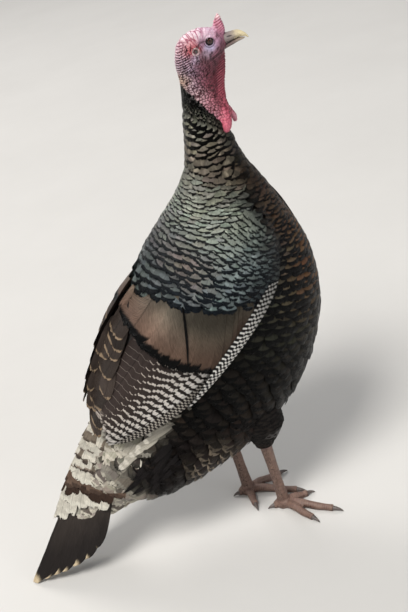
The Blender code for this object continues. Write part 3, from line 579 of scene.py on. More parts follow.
# Bare skin: x, z, reach, tone of the tops, tone of the valleys (partly the skin's own and partly painted
# shade).
SKIN = [
    (0.062, 0.957, 0.0075, (0.68, 0.52, 0.57), (0.34, 0.090, 0.150)),
    (0.046, 0.951, 0.0070, (0.70, 0.53, 0.57), (0.30, 0.070, 0.120)),
    (0.034, 0.943, 0.0070, (0.76, 0.56, 0.62), (0.17, 0.040, 0.080)),
    (0.026, 0.930, 0.0070, (0.50, 0.35, 0.40), (0.050, 0.010, 0.020)),
    (0.045, 0.937, 0.0086, (0.36, 0.026, 0.036), (0.15, 0.003, 0.008)),
    (0.053, 0.945, 0.0034, (0.46, 0.14, 0.17), (0.20, 0.014, 0.026)),
    (0.076, 0.952, 0.0055, (0.70, 0.52, 0.60), (0.42, 0.200, 0.290)),
    (0.088, 0.951, 0.0055, (0.60, 0.42, 0.52), (0.34, 0.140, 0.220)),
    (0.100, 0.944, 0.0055, (0.36, 0.150, 0.22), (0.20, 0.050, 0.090)),
    (0.069, 0.941, 0.0040, (0.30, 0.150, 0.23), (0.10, 0.030, 0.060)),
    (0.0815, 0.9285, 0.0046, (0.56, 0.52, 0.74), (0.34, 0.26, 0.42)),
    (0.093, 0.933, 0.0045, (0.45, 0.25, 0.36), (0.20, 0.070, 0.120)),
    (0.074, 0.920, 0.0050, (0.40, 0.28, 0.36), (0.12, 0.045, 0.075)),
    (0.100, 0.924, 0.0055, (0.19, 0.065, 0.090), (0.080, 0.018, 0.030)),
    (0.086, 0.917, 0.0055, (0.26, 0.100, 0.140), (0.085, 0.022, 0.038)),
    (0.066, 0.912, 0.0060, (0.115, 0.040, 0.052), (0.042, 0.009, 0.014)),
    (0.052, 0.918, 0.0045, (0.36, 0.29, 0.38), (0.100, 0.035, 0.070)),
    (0.036, 0.916, 0.0070, (0.37, 0.235, 0.30), (0.040, 0.007, 0.016)),
    (0.025, 0.905, 0.0080, (0.42, 0.31, 0.35), (0.038, 0.008, 0.015)),
    (0.040, 0.902, 0.0075, (0.28, 0.19, 0.265), (0.038, 0.008, 0.020)),
    (0.054, 0.900, 0.0080, (0.21, 0.085, 0.120), (0.042, 0.008, 0.017)),
    (0.025, 0.885, 0.0080, (0.50, 0.34, 0.235), (0.052, 0.010, 0.011)),
    (0.037, 0.878, 0.0080, (0.35, 0.25, 0.31), (0.042, 0.008, 0.019)),
    (0.052, 0.880, 0.0090, (0.20, 0.058, 0.086), (0.032, 0.004, 0.009)),
    (0.070, 0.895, 0.0080, (0.125, 0.024, 0.038), (0.036, 0.004, 0.009)),
    (0.080, 0.905, 0.0070, (0.14, 0.038, 0.058), (0.048, 0.009, 0.017)),
    (0.070, 0.870, 0.0090, (0.18, 0.026, 0.044), (0.036, 0.003, 0.008)),
    (0.040, 0.860, 0.0080, (0.52, 0.34, 0.35), (0.052, 0.007, 0.014)),
    (0.055, 0.852, 0.0080, (0.45, 0.24, 0.28), (0.052, 0.005, 0.011)),
    (0.068, 0.848, 0.0090, (0.34, 0.060, 0.092), (0.052, 0.003, 0.008)),
    (0.064, 0.832, 0.0090, (0.46, 0.21, 0.25), (0.058, 0.004, 0.010)),
    (0.082, 0.835, 0.0100, (0.38, 0.068, 0.104), (0.066, 0.003, 0.008)),
    (0.102, 0.895, 0.0080, (0.30, 0.062, 0.086), (0.060, 0.005, 0.010)),
    (0.098, 0.872, 0.0080, (0.33, 0.064, 0.092), (0.064, 0.005, 0.011)),
    (0.093, 0.850, 0.0080, (0.36, 0.062, 0.092), (0.070, 0.005, 0.011)),
    (0.088, 0.818, 0.0080, (0.54, 0.110, 0.165), (0.150, 0.009, 0.022)),
    (0.078, 0.800, 0.0070, (0.52, 0.120, 0.170), (0.30, 0.040, 0.070)),
    (0.100, 0.795, 0.0070, (0.60, 0.26, 0.32), (0.36, 0.090, 0.130)),
    (0.105, 0.957, 0.0060, (0.54, 0.21, 0.29), (0.24, 0.034, 0.058)),
    (0.107, 0.973, 0.0045, (0.80, 0.60, 0.60), (0.58, 0.30, 0.33)),
]
# Relief of the bare skin: x, z, reach, then millimetres of beads, of folds and of level wrinkles.
RELIEF = [
    (0.062, 0.958, 0.009, 0.00, 0.95, 0.00), (0.046, 0.951, 0.008, 0.10, 0.95, 0.00),
    (0.034, 0.943, 0.008, 0.20, 0.60, 0.40), (0.046, 0.938, 0.005, 0.55, 0.15, 0.00),
    (0.026, 0.926, 0.009, 0.25, 0.05, 1.10), (0.081, 0.939, 0.010, 0.05, 0.00, 0.00),
    (0.078, 0.951, 0.006, 0.00, 0.45, 0.00), (0.098, 0.936, 0.008, 0.06, 0.00, 0.05),
    (0.074, 0.922, 0.008, 0.10, 0.00, 0.00), (0.052, 0.918, 0.006, 0.45, 0.00, 0.00),
    (0.090, 0.910, 0.007, 0.08, 0.00, 0.30), (0.102, 0.893, 0.009, 0.00, 0.00, 1.10),
    (0.098, 0.870, 0.009, 0.00, 0.00, 1.15), (0.093, 0.850, 0.009, 0.20, 0.00, 1.00),
    (0.070, 0.886, 0.008, 0.30, 0.00, 0.20), (0.050, 0.890, 0.010, 0.75, 0.05, 0.00),
    (0.026, 0.906, 0.008, 0.30, 0.00, 1.05), (0.026, 0.888, 0.009, 0.75, 0.00, 0.45),
    (0.040, 0.862, 0.010, 1.05, 0.00, 0.00), (0.064, 0.848, 0.010, 1.00, 0.00, 0.00),
    (0.084, 0.832, 0.010, 0.95, 0.00, 0.05), (0.088, 0.816, 0.008, 0.60, 0.00, 0.00),
    (0.078, 0.798, 0.007, 0.12, 0.00, 0.00), (0.100, 0.798, 0.007, 0.12, 0.00, 0.00),
    (0.105, 0.960, 0.007, 0.00, 0.00, 0.60), (0.103, 0.945, 0.006, 0.05, 0.10, 0.25),
]
# Legs: tone of the scales' tops and of the valleys between them, the valleys partly painted shade.
LEG_TONES = ((0.195, 0.120, 0.093), (0.050, 0.025, 0.018))


def blend(table, x, z, columns):
    """Each point's mix of the table's entries, by nearness to their places."""
    weights = []
    for row in table:
        gap = ((x - row[0]) ** 2 + (z - row[1]) ** 2) / row[2] ** 2
        weights.append(np.exp(-0.5 * np.minimum(gap, 400.0)) + 1e-12 / (1.0 + gap))
    weights = np.stack(weights, axis=-1)
    weights /= weights.sum(axis=-1, keepdims=True)
    return [weights @ np.array([np.atleast_1d(row[k]) for row in table], float) for k in columns]


def plumage(place):
    """Main tone and tip (tone and band) of a feather at these places, with painted shade in the fold in front
    of the wing.
    """
    x, z = place[..., 0], place[..., 2]
    tone, edge, band = blend(MARKS, x, z, (3, 4, 5))
    # painted shade: the tone darkens in a narrow fold in front of the wing
    fold = np.interp(z, (0.58, 0.655, 0.78), (0.099, 0.092, 0.086))
    deep = np.interp(z, (0.57, 0.60, 0.66, 0.74, 0.79), (0.0, 0.55, 0.90, 0.80, 0.0))
    tone = tone * (1.0 - deep * hump(x, fold, 0.0048))[..., None]
    return tone, np.concatenate([edge, band], axis=-1)


# ---------------------------------------------------------------- surfaces that feathers lie on
class Face:
    """A nearly flat surface over two lengths in metres, given by a function."""

    def __init__(self, shape, flip):
        self.shape, self.flip = shape, flip

    def move(self, spot, ahead, aside, heading):
        cos, sin = np.cos(heading), np.sin(heading)
        return spot + pair(cos * ahead - sin * aside, sin * ahead + cos * aside)

    def where(self, spot):
        place = self.shape(spot)
        first = self.shape(spot + np.array((6e-4, 0.0))) - place
        second = self.shape(spot + np.array((0.0, 6e-4))) - place
        normal = np.cross(first, second) * self.flip
        return place, normal / np.maximum(np.linalg.norm(normal, axis=-1, keepdims=True), 1e-12)


def wing_face(mirror):
    """The folded wing's outer side over (along, across) from the wrist."""
    def shape(spot):
        along, across = spot[..., 0], spot[..., 1]
        low, high, y_low, y_full, y_high = columns_at(WING_ROWS, along, range(1, 6))
        share = (2.0 * across - low - high) / np.maximum(high - low, 1e-4)
        inside = np.clip(share, -1.0, 1.0)
        edge = np.where(share > 0, y_high, y_low)
        out = edge + (y_full - edge) * np.sqrt(np.maximum(1.0 - inside * inside, 0.0))
        out -= 0.4 * np.maximum(np.abs(share) - 1.0, 0.0) * 0.5 * (high - low)
        place = WRIST + WING_BACK * along[..., None] + WING_UP * across[..., None]
        return place + np.array((0.0, mirror, 0.0)) * out[..., None]
    return Face(shape, mirror)


def tail_face(rows):
    """The tail's or its coverts' upper side over (down, to the left)."""
    def shape(spot):
        along, aside = spot[..., 0], spot[..., 1]
        half, slope, above = columns_at(rows, along, (1, 2, 3))
        share = aside / np.maximum(half, 0.012)
        slope = np.radians(slope)
        side = np.minimum(np.abs(share), 1.15)
        drop = np.maximum(half, 0.012) * np.sin(slope) * side ** RIDGE_ROUNDING
        height = drop - above * (1.0 - 0.5 * np.minimum(side * side, 1.3))
        place = TAIL_ROOT + TAIL_DOWN * along[..., None] + TAIL_UNDER * height[..., None]
        place[..., 1] += aside * np.cos(slope)
        place[..., 2] = np.maximum(place[..., 2], 0.0022)
        return place
    return Face(shape, -1.0)


def tube_face(stops, radii):
    """A thigh's surface over (down, round), round being an angle scaled by RING metres."""
    stops, radii = np.array(stops, float), np.array(radii, float)
    lengths = np.concatenate([[0.0], np.cumsum(np.linalg.norm(np.diff(stops, axis=0), axis=1))])
    def shape(spot):
        along, turn = spot[..., 0], spot[..., 1] / RING
        middle = np.stack([np.interp(along, lengths, stops[:, k]) for k in range(3)], axis=-1)
        wide, deep = (np.interp(along, lengths, radii[:, k]) for k in range(2))
        middle[..., 1] += wide * np.sin(turn)
        middle[..., 0] += deep * np.cos(turn)
        return middle
    return Face(shape, 1.0), lengths[-1]


RING = 0.030
# Outline of a feather: share of its length, share of its half width.
ROUND = ((0.0, 0.30), (0.22, 0.62), (0.45, 0.88), (0.64, 1.0), (0.78, 0.95), (0.89, 0.74), (0.96, 0.45),
         (1.0, 0.12))
SQUARE = ((0.0, 0.32), (0.30, 0.70), (0.55, 0.95), (0.68, 1.0), (0.80, 1.0), (0.89, 0.97), (0.96, 0.82),
          (1.0, 0.46))
NARROW = ((0.0, 0.45), (0.20, 0.90), (0.42, 1.0), (0.62, 0.86), (0.78, 0.62), (0.90, 0.36), (0.97, 0.18),
          (1.0, 0.05))
QUILL = ((0.0, 0.35), (0.05, 0.55), (0.12, 0.78), (0.20, 0.90), (0.30, 0.97), (0.40, 1.0), (0.50, 1.0),
         (0.60, 1.0),
         (0.70, 0.98), (0.78, 0.94), (0.85, 0.86), (0.90, 0.76), (0.94, 0.62), (0.97, 0.44), (0.99, 0.26),
         (1.0, 0.10))
BROAD = ((0.0, 0.30), (0.10, 0.52), (0.22, 0.72), (0.36, 0.88), (0.50, 0.97), (0.62, 1.0), (0.73, 1.0),
         (0.82, 0.98),
         (0.89, 0.93), (0.94, 0.84), (0.975, 0.66), (1.0, 0.34))
PATCH = 0.0015  # half the width of a feather's patch on the unwrap


class Coat:
    """Feathers gathered into one mesh."""

    def __init__(self, name, corner, span):
        self.name, self.corner, self.span = name, np.array(corner), np.array(span)
        self.parts = []

    def lay(self, surface, spot, heading, length, width, depth, tone, edge, share, bars=(0.0, 0.0, 0.0),
            form=ROUND, columns=5, lift=0.0, camber=0.10, bend=0.0, fray=0.04, over=0.0, tilt=0.0, fore=None,
            puff=0.0):
        """Lays a feather from each spot. depth is how deep its root lies, lift and over raise tip and whole.

        share is the root's place (0 to 1) on the unwrap. bend turns the shaft along its length and
        tilt raises one side of the vane over the other. The tone turns to fore along the vane. puff
        is how far the part left bare by the next row bulges.
        """
        spot = np.asarray(spot, float)
        many = len(spot)
        def each(value):
            return np.broadcast_to(np.asarray(value, float), (many,))
        heading, length, width, depth = each(heading), each(length), each(width), each(depth)
        lift, over, bend, tilt, puff = each(lift), each(over), each(bend), each(tilt), each(puff)
        chance = RNG.random(many)
        across = np.linspace(-1.0, 1.0, columns)
        points, lies = [], []
        walk, gone = spot.copy(), 0.0
        for s, w in form:
            turned = heading + bend * s
            walk = surface.move(walk, length * (s - gone), np.zeros(many), turned)
            gone = s
            torn = RNG.normal(0.0, fray, (many, columns)) * length[:, None] * max(s - 0.80, 0.0) * 5.0
            torn -= 0.10 * (across ** 2)[None, :] * width[:, None] * (1.0 - s) * 0.5
            side = across[None, :] * (0.5 * w * width)[:, None]
            wide = np.repeat(walk[:, None], columns, 1)
            spots = surface.move(wide, torn, side, np.repeat(turned[:, None], columns, 1))
            place, normal = surface.where(spots)
            bulge = puff * math.sin(math.pi * max(s - 0.50, 0.0) / 0.50)
            high = (-depth * (1.0 - s) + over + lift * s * s + bulge)[:, None]
            high = high - camber * width[:, None] * (across ** 2)[None, :] * w * 0.5
            high = high + (tilt * width)[:, None] * across[None, :] * 0.5 * w
            points.append(place + normal * high[..., None])
            lies.append(np.stack([np.full((many, columns), s), np.tile(across, (many, 1)),
                                  np.repeat(chance[:, None], columns, 1)], axis=-1))
        points, lies = np.stack(points, axis=1), np.stack(lies, axis=1)
        tone = np.broadcast_to(np.asarray(tone, float), (many, 3))[:, None]
        fore = tone if fore is None else np.broadcast_to(np.asarray(fore, float), (many, 3))[:, None]
        turn = np.clip((np.array([row[0] for row in form]) - 0.35) / 0.45, 0.0, 1.0)[None, :, None]
        tone = np.repeat(toward(tone, fore, turn)[:, :, None], columns, 2)
        edge = np.broadcast_to(np.asarray(edge, float), (many, 4))
        bars = np.broadcast_to(np.asarray(bars, float), (many, 3))
        share = np.broadcast_to(np.asarray(share, float), (many, 2))
        self.parts.append((points, lies, tone, edge, bars,
                           self.corner + self.span * np.clip(share, 0.0, 1.0)))

    def build(self, material, slot):
        """One mesh from all that was laid."""
        points, faces, lies, tones, edges, bars, maps = [], [], [], [], [], [], []
        first = 0
        for place, lie, tone, edge, stripe, share in self.parts:
            many, rows, columns = place.shape[:3]
            size = rows * columns
            starts = first + np.arange(many) * size
            faces.append((starts[:, None, None] + grid_quads(rows, columns)[None]).reshape(-1, 4))
            first += many * size
            for field, store in ((place, points), (lie, lies), (tone, tones)):
                store.append(field.reshape(-1, 3))
            for field, store in ((edge, edges), (stripe, bars)):
                store.append(np.repeat(field, size, axis=0))
            patch = share[:, None, None] + PATCH * lie[...,
                                                       [1, 0]] * np.array((0.5, 2.0)) - np.array((0.0, PATCH))
            maps.append(patch.reshape(-1, 2))
        points, faces, lies, tones, edges, bars, maps = [
            np.concatenate(field) for field in (points, faces, lies, tones, edges, bars, maps)]
        tones = np.concatenate([tones, np.ones((len(tones), 1))], axis=1)
        piece(self.name, points + ORIGIN, faces, material, slot, maps, lie=lies, tone=tones, edge=edges,
              bars=bars)


def add_object(name, data):
    """A new object in the scene with this mesh, lamp or camera."""
    made = bpy.data.objects.new(name, data)
    bpy.context.scene.collection.objects.link(made)
    return made


def smooth_faces(mesh):
    mesh.polygons.foreach_set("use_smooth", np.ones(len(mesh.polygons), bool))


def store_field(mesh, name, value):
    """A point attribute, a vector if the values have three numbers and a colour if they have four."""
    kind, key = ("FLOAT_VECTOR", "vector") if value.shape[1] == 3 else ("FLOAT_COLOR", "color")
    made = mesh.attributes.new(name, kind, "POINT")
    made.data.foreach_set(key, value.astype(np.float32).ravel())


def piece(name, points, faces, material, slot, baked, **fields):
    """A smooth mesh of four-sided faces with point attributes, riding on the root."""
    mesh = bpy.data.meshes.new(name)
    mesh.vertices.add(len(points))
    mesh.vertices.foreach_set("co", np.ascontiguousarray(points, np.float32).ravel())
    mesh.loops.add(faces.size)
    mesh.loops.foreach_set("vertex_index", np.ascontiguousarray(faces, np.int32).ravel())
    mesh.polygons.add(len(faces))
    mesh.polygons.foreach_set("loop_start", np.arange(0, faces.size, 4, dtype=np.int32))
    mesh.update()
    smooth_faces(mesh)
    for key, value in fields.items():
        store_field(mesh, key, value)
    layer = mesh.uv_layers.new(name="OFBake")
    layer.data.foreach_set("uv", baked[faces.ravel()].astype(np.float32).ravel())
    mesh.materials.append(material)
    made = add_object(name, mesh)
    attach(made, "root")


# ---------------------------------------------------------------- the coat
def jitter(many, spread):
    return RNG.normal(0.0, spread, many)


GRID, MIDDLE = body_grid()
BODY_SKIN = Skin(GRID)


PROBE = 0.15  # how far out a ray starts that looks for the wing


def cover_grid():
    """The body's surface raised over the folded wings, and how high the wings stand over the body."""
    out = GRID - MIDDLE[:, None]
    out = out / np.maximum(np.linalg.norm(out, axis=2, keepdims=True), 1e-6)
    high = np.zeros(GRID.shape[:2])
    for mirror in (-1.0, 1.0):
        shell = wing_grid(mirror)
        quads = grid_quads(*shell.shape[:2])
        tree = BVHTree.FromPolygons(shell.reshape(-1, 3).tolist(), quads.tolist())
        for i in range(10 * PER_ROW, 21 * PER_ROW):
            for j in range(GRID.shape[1]):
                if GRID[i, j, 1] * mirror < -0.004:
                    continue
                away = Vector(out[i, j])
                hit = tree.ray_cast(Vector(GRID[i, j]) + away * PROBE, -away, PROBE)
                if hit[0] is not None:
                    high[i, j] = max(high[i, j], PROBE - hit[3])
    span = BODY_SKIN.size[..., 0] / GRID.shape[1]
    ramp = high.copy()
    half = GRID.shape[1] // 2
    for side in (range(half // 2, half + 1), range(half + half // 2, half - 1, -1)):
        last = None
        for j in side:
            if last is not None:
                ramp[:, j] = np.maximum(ramp[:, j], ramp[:, last] - 0.55 * span[:, j])
            last = j
    for _ in range(10):
        padded = np.concatenate([ramp[:, -1:], ramp, ramp[:, :1]], axis=1)
        ramp = (padded[:, :-2] + 2.0 * padded[:, 1:-1] + padded[:, 2:]) / 4.0
        ramp[1:-1] = (ramp[:-2] + 2.0 * ramp[1:-1] + ramp[2:]) / 4.0
    return GRID + out * ramp[..., None], high


COVER, HIGH = cover_grid()
COVER_SKIN = Skin(COVER)
BODY_ROWS = len(BODY) - 1
# Row of the body, distance between feather rows, between neighbours, depth of the coat.
SPACING = np.array([
    (6.4, 0.0030, 0.0030, 0.001),
    (7.6, 0.0032, 0.0034, 0.002),
    (8.7, 0.0045, 0.0050, 0.003),
    (9.3, 0.0105, 0.0110, 0.004),
    (10.4, 0.0125, 0.0145, 0.005),
    (11.4, 0.0105, 0.0160, 0.007),
    (12.3, 0.0082, 0.0165, 0.007),
    (13.2, 0.0080, 0.0170, 0.007),
    (14.2, 0.0105, 0.0200, 0.008),
    (15.2, 0.0145, 0.0250, 0.008),
    (16.5, 0.0160, 0.0260, 0.008),
    (20.0, 0.0160, 0.0240, 0.009),
    (26.0, 0.0150, 0.0200, 0.008),
    (28.0, 0.0140, 0.0160, 0.006),
])


def bare_edge(u):
    """The body row where the feathers begin, round the neck."""
    from_back = (0.0, 0.10, 0.20, 0.26, 0.31, 0.36, 0.5)
    return np.interp(np.abs(u - 0.5), from_back, (6.4, 6.8, 7.25, 7.7, 8.3, 8.75, 8.95))


def body_spots():
    """Staggered rows of feather roots over the body: u and the row of the body."""
    spots = []
    step, many, count = SPACING[0, 0], 0, 0
    while step < BODY_ROWS - 0.35:
        apart, beside = columns_at(SPACING, step, (1, 2))
        at = min(int(step * PER_ROW), len(GRID) - 1)
        girth = BODY_SKIN.size[at, :, 0].mean()
        wanted = max(int(round(girth / beside)), 6)
        if not many or abs(wanted - many) > 0.10 * many:
            many = wanted
        u = (np.arange(many) + 0.5 * (count % 2)) / many + jitter(many, 0.06 / many)
        pace = BODY_SKIN.size[at, :, 1].mean() / BODY_ROWS
        v = step + jitter(many, 0.05 * apart / pace)
        spots.append(pair(u % 1.0, v))
        step += apart / pace
        count += 1
    spots = np.concatenate(spots)
    return spots[spots[:, 1] > bare_edge(spots[:, 0])]


def dress_body(coat, pale_coat):
    """The feathers of neck, mantle, breast, belly and rump."""
    spots = body_spots()
    rows = spots[:, 1]
    apart, beside, depth = columns_at(SPACING, rows, (1, 2, 3))
    spot = pair(spots[:, 0], rows / BODY_ROWS)
    many = len(spot)
    length = apart * (2.5 + RNG.random(many) * 0.5) + 0.004 + 0.003 * (rows < 9.0)
    tip = BODY_SKIN.move(spot, length, np.zeros(many), np.zeros(many))
    high_root, high_tip = (BODY_SKIN.read(HIGH[..., None], at[:, 0], at[:, 1])[:, 0] for at in (spot, tip))
    behind = np.abs(spot[:, 0] - 0.5) < np.interp(rows, (9.0, 10.0, 13.0, 15.0), (0.27, 0.335, 0.335, 0.27))
    over_wing = behind & (tip[:, 1] * BODY_ROWS < 15.9)
    hidden = ~over_wing & (high_root > 0.020) & (high_tip > 0.020)
    hidden |= over_wing & (high_tip < 0.002) & (high_root > 0.012)
    for surface, chosen in ((COVER_SKIN, over_wing & ~hidden), (BODY_SKIN, ~over_wing & ~hidden)):
        many, row = int(chosen.sum()), rows[chosen]
        place = surface.where(tip[chosen])[0]
        tone, edge = plumage(place)
        tone = tone * RNG.uniform(0.90, 1.10, (many, 1)) * RNG.uniform(0.95, 1.05, (many, 3))
        # on the neck rows (9 to 10) the black tip band is wide: partly the feathers' black, partly painted
        # shade between the rows
        band = np.interp(row, (9.0, 10.2, 11.2, 12.4, 14.0), (0.66, 0.46, 0.22, 0.50, 0.80))
        edge[:, 3] *= band * RNG.uniform(0.85, 1.15, many)
        wide = beside[chosen] * RNG.uniform(0.95, 1.05, many)
        wide = wide * np.interp(row, (8.9, 9.2, 12.5, 15.0), (1.42, 2.0, 1.75, 1.42))
        puff = np.interp(row, (8.5, 9.5, 11.5, 14.0), (0.0004, 0.0022, 0.0012, 0.0016))
        loose = np.interp(place[:, 2], (0.30, 0.45), (0.004, 0.0))
        hair = row < 8.9
        pale = ~hair & (row > 18.0) & (tone.mean(axis=1) > 0.12)
        tone[pale] *= RNG.choice((0.30, 0.75, 0.90, 1.0), (int(pale.sum()), 1))
        for form, which, longer, wider in (
            (NARROW, hair, 0.8, 0.85),
            (SQUARE, ~hair & (row < 16.5), 1.0, 1.0),
            (BROAD, pale, 1.5, 0.8),
            (ROUND, ~hair & ~pale & (row >= 16.5), 1.1, 1.0),
        ):
            some = int(which.sum())
            if not some:
                continue
            here = pale_coat if form is BROAD else coat
            root = spot[chosen][which]
            here.lay(surface, root, jitter(some, 0.10), length[chosen][which] * longer, wide[which] * wider,
                     depth[chosen][which], tone[which], edge[which], root, form=form, columns=7,
                     lift=0.0004 + loose[which] * RNG.random(some), over=jitter(some, 0.0003) - 0.0003,
                     puff=puff[which], bend=jitter(some, 0.08), tilt=jitter(some, 0.03))


# Roots of the long flank feathers: x, z, turn in degrees from the lie of the coat, length.
FLANK_STRIPS = (
    (-0.112, 0.350, 40, 0.080), (-0.130, 0.338, 36, 0.080), (-0.140, 0.326, 34, 0.076),
    (-0.155, 0.322, 30, 0.080),
    (-0.165, 0.312, 28, 0.076), (-0.178, 0.306, 24, 0.076), (-0.190, 0.298, 20, 0.072),
    (-0.205, 0.292, 16, 0.070),
)
FLANK_STRANDS = (
    (-0.150, 0.300, 12, 0.075), (-0.158, 0.285, 8, 0.070), (-0.163, 0.268, 4, 0.075),
    (-0.172, 0.255, 0, 0.070),
    (-0.178, 0.238, 0, 0.065), (-0.186, 0.222, 0, 0.060), (-0.140, 0.268, 8, 0.070),
    (-0.150, 0.245, 4, 0.070),
    (-0.205, 0.262, 0, 0.065), (-0.214, 0.247, 0, 0.065), (-0.222, 0.232, 0, 0.060),
    (-0.212, 0.215, 0, 0.055),
    (-0.195, 0.250, 0, 0.065), (-0.168, 0.225, 0, 0.060),
)


def spot_near(x, z, mirror):
    """The spots (u, v) of the body's side that lie nearest to these places."""
    side = np.where(GRID[..., 1] * mirror > 0.002, 0.0, 9.0)
    found = []
    for at, up in zip(x, z):
        gap = (GRID[..., 0] - at) ** 2 + (GRID[..., 2] - up) ** 2 + side
        row, column = np.unravel_index(np.argmin(gap), gap.shape)
        found.append((column / GRID.shape[1], row / (GRID.shape[0] - 1)))
    return np.array(found)


def dress_flank(coat):
    """Long pale feathers under the wing's edge and black strands hanging behind them."""
    for mirror in (-1.0, 1.0):
        for table, form, width, tone, edge in (
            (FLANK_STRIPS, BROAD, 0.0125, (0.40, 0.37, 0.31), (0.62, 0.58, 0.50, 0.12)),
            (FLANK_STRANDS, NARROW, 0.011, (0.010, 0.008, 0.008), (0.004, 0.003, 0.003, 0.20)),
        ):
            x, z, turn, length = np.array(table).T
            many = len(x)
            roots = spot_near(x, z, mirror)
            heading = np.radians(turn) * mirror + jitter(many, 0.05)
            length = length * RNG.uniform(0.9, 1.1, many)
            shades = np.array(tone) * RNG.uniform(0.75, 1.15, (many, 1))
            coat.lay(BODY_SKIN, roots, heading, length, width, 0.004, shades, edge, roots, form=form,
                     columns=9,
                     over=0.0030 + 0.0012 * RNG.random(many), fray=0.016, camber=0.08)


def dress_head(coat):
    """Sparse short bristles on the cheeks and the sides of the head."""
    many = 420
    round_head = 0.5 + RNG.choice((-1.0, 1.0), many) * RNG.uniform(0.10, 0.42, many)
    spots = pair(round_head, RNG.uniform(1.6, 7.2, many) / BODY_ROWS)
    place = BODY_SKIN.where(spots)[0]
    from_eye = np.hypot(place[:, 0] - EYE[0], place[:, 2] - EYE[2])
    from_ear = np.hypot(place[:, 0] - EAR[0], place[:, 2] - EAR[1])
    spots = spots[(from_eye > 0.0125) & (from_ear > 0.007)]
    many = len(spots)
    coat.lay(BODY_SKIN, spots, jitter(many, 0.25), RNG.uniform(0.004, 0.0075, many), 0.00075, 0.0004,
             (0.030, 0.018, 0.018), (0.012, 0.008, 0.008, 0.3), spots, form=NARROW, columns=3, lift=0.0012,
             over=0.0009)


def aim(roots, tips, bend=0.0):
    """The heading and length that take a feather from its root to its tip on a flat face."""
    way = np.asarray(tips, float) - np.asarray(roots, float)
    chord = np.hypot(way[..., 0], way[..., 1])
    half = np.maximum(np.abs(np.asarray(bend, float)) * 0.5, 1e-4)
    return np.arctan2(way[..., 1], way[..., 0]) - 0.5 * np.asarray(bend), chord * half / np.sin(half)


def along_line(line, count, start=0.0, stop=1.0):
    """Points evenly spaced along a line of points."""
    line = np.array(line, float)
    reach = np.concatenate([[0.0], np.cumsum(np.linalg.norm(np.diff(line, axis=0), axis=1))])
    at = np.linspace(start, stop, count) * reach[-1]
    return np.stack([np.interp(at, reach, line[:, k]) for k in range(line.shape[1])], axis=-1)


# Lines on the wing, (along, across) in metres from the wrist.
LESSER_END = ((0.064, -0.041), (0.080, -0.030), (0.096, -0.009), (0.114, 0.012), (0.135, 0.041),
              (0.163, 0.070),
              (0.190, 0.100), (0.209, 0.112))
GREATER_TIPS = ((0.160, -0.040), (0.200, -0.049), (0.230, -0.044), (0.244, -0.030), (0.256, -0.004),
                (0.263, 0.017),
                (0.269, 0.040), (0.270, 0.064), (0.272, 0.083), (0.268, 0.100))
INNER_TIPS = ((0.300, 0.101), (0.318, 0.101), (0.334, 0.089), (0.352, 0.091), (0.366, 0.076), (0.385, 0.077),
              (0.398, 0.061), (0.416, 0.060), (0.428, 0.047), (0.444, 0.044), (0.456, 0.032), (0.471, 0.026))
SECONDARY_TIPS = ((0.474, -0.014), (0.462, 0.002), (0.452, 0.018), (0.440, 0.034), (0.428, 0.048))

# Spacing of the shoulder's small coverts: distance from the wrist, then spacing.
SHOULDER_SPACING = ((-0.03, 0.03, 0.10, 0.18), (0.0075, 0.0085, 0.0120, 0.0150))


def unwrap_wing(spot):
    return pair((spot[:, 0] + 0.04) / 0.54, (spot[:, 1] + 0.075) / 0.20)


def back_from(tips, slant, length):
    """Roots of feathers that end at these tips."""
    return tips - pair(np.cos(slant), np.sin(slant)) * length[:, None]


def lay_quills(coat, face, roots, tips, bend, bars, **more):
    """Flight feathers from roots to tips. bars is (period in metres, share of light, phase)."""
    heading, length = aim(roots, tips, bend)
    period, duty, phase = bars
    coat.lay(face, roots, heading, length, share=unwrap_wing(roots), form=QUILL, bend=bend, fray=0.003,
             bars=np.stack(np.broadcast_arrays(length / period, duty, phase), axis=1), **more)


def dress_wing(coat, coverts, inner, mirror):
    """Primaries, secondaries and inner feathers, then the coppery coverts and those of the shoulder."""
    face = wing_face(mirror)
    rank, period = np.arange(4), 0.0092
    roots = pair(0.046 + 0.003 * rank, -0.034 + 0.0036 * rank)
    phase = roots[:, 0] / period + np.array((0.0, 0.50, 0.12, 0.66))
    lay_quills(coat, face, roots, pair(0.318 - 0.022 * rank, -0.0575 + 0.0046 * rank),
               np.radians(20.0 - 4.0 * rank), (period, 0.50 - 0.04 * rank, phase), width=0.0125, depth=0.003,
               tone=(0.010, 0.009, 0.009), edge=(0.74, 0.72, 0.68, 0.0), columns=9, tilt=-0.06, camber=0.04,
               over=0.0042 - 0.0004 * rank)
    rank = np.arange(3)
    roots = pair(0.190 + 0.006 * rank, -0.056 + 0.0042 * rank)
    lay_quills(coat, face, roots, pair(0.462 - 0.006 * rank, -0.021 + 0.0040 * rank),
               np.radians(22.0 - 3.0 * rank), (0.0075, 0.36, 0.4 * rank), width=0.0100, depth=0.003,
               tone=(0.016, 0.013, 0.012), edge=(0.46, 0.42, 0.37, 0.0), columns=9, tilt=-0.06, camber=0.04,
               over=0.0026 - 0.0004 * rank)
    dress_secondaries(coat, face)
    tips = np.array(INNER_TIPS)
    count = len(tips)
    rank = np.linspace(0.0, 1.0, count)
    slant = np.radians(-12.0 - 20.0 * rank)
    length = 0.080 - 0.016 * rank
    roots = back_from(tips, slant, length)
    grey = np.array((0.030, 0.022, 0.018)) * RNG.uniform(0.5, 1.7, (count, 1))
    inner.lay(face, roots + RNG.normal(0.0, 0.0016, roots.shape), slant + jitter(count, 0.05), length, 0.0150,
              0.004, grey, (0.24, 0.175, 0.115, 0.026), unwrap_wing(roots), form=BROAD, columns=11,
              tilt=-0.05,
              camber=0.06, fray=0.022, over=0.0018 - 0.0010 * rank)
    dress_greater_coverts(coverts, face)
    dress_shoulder(coverts, face)


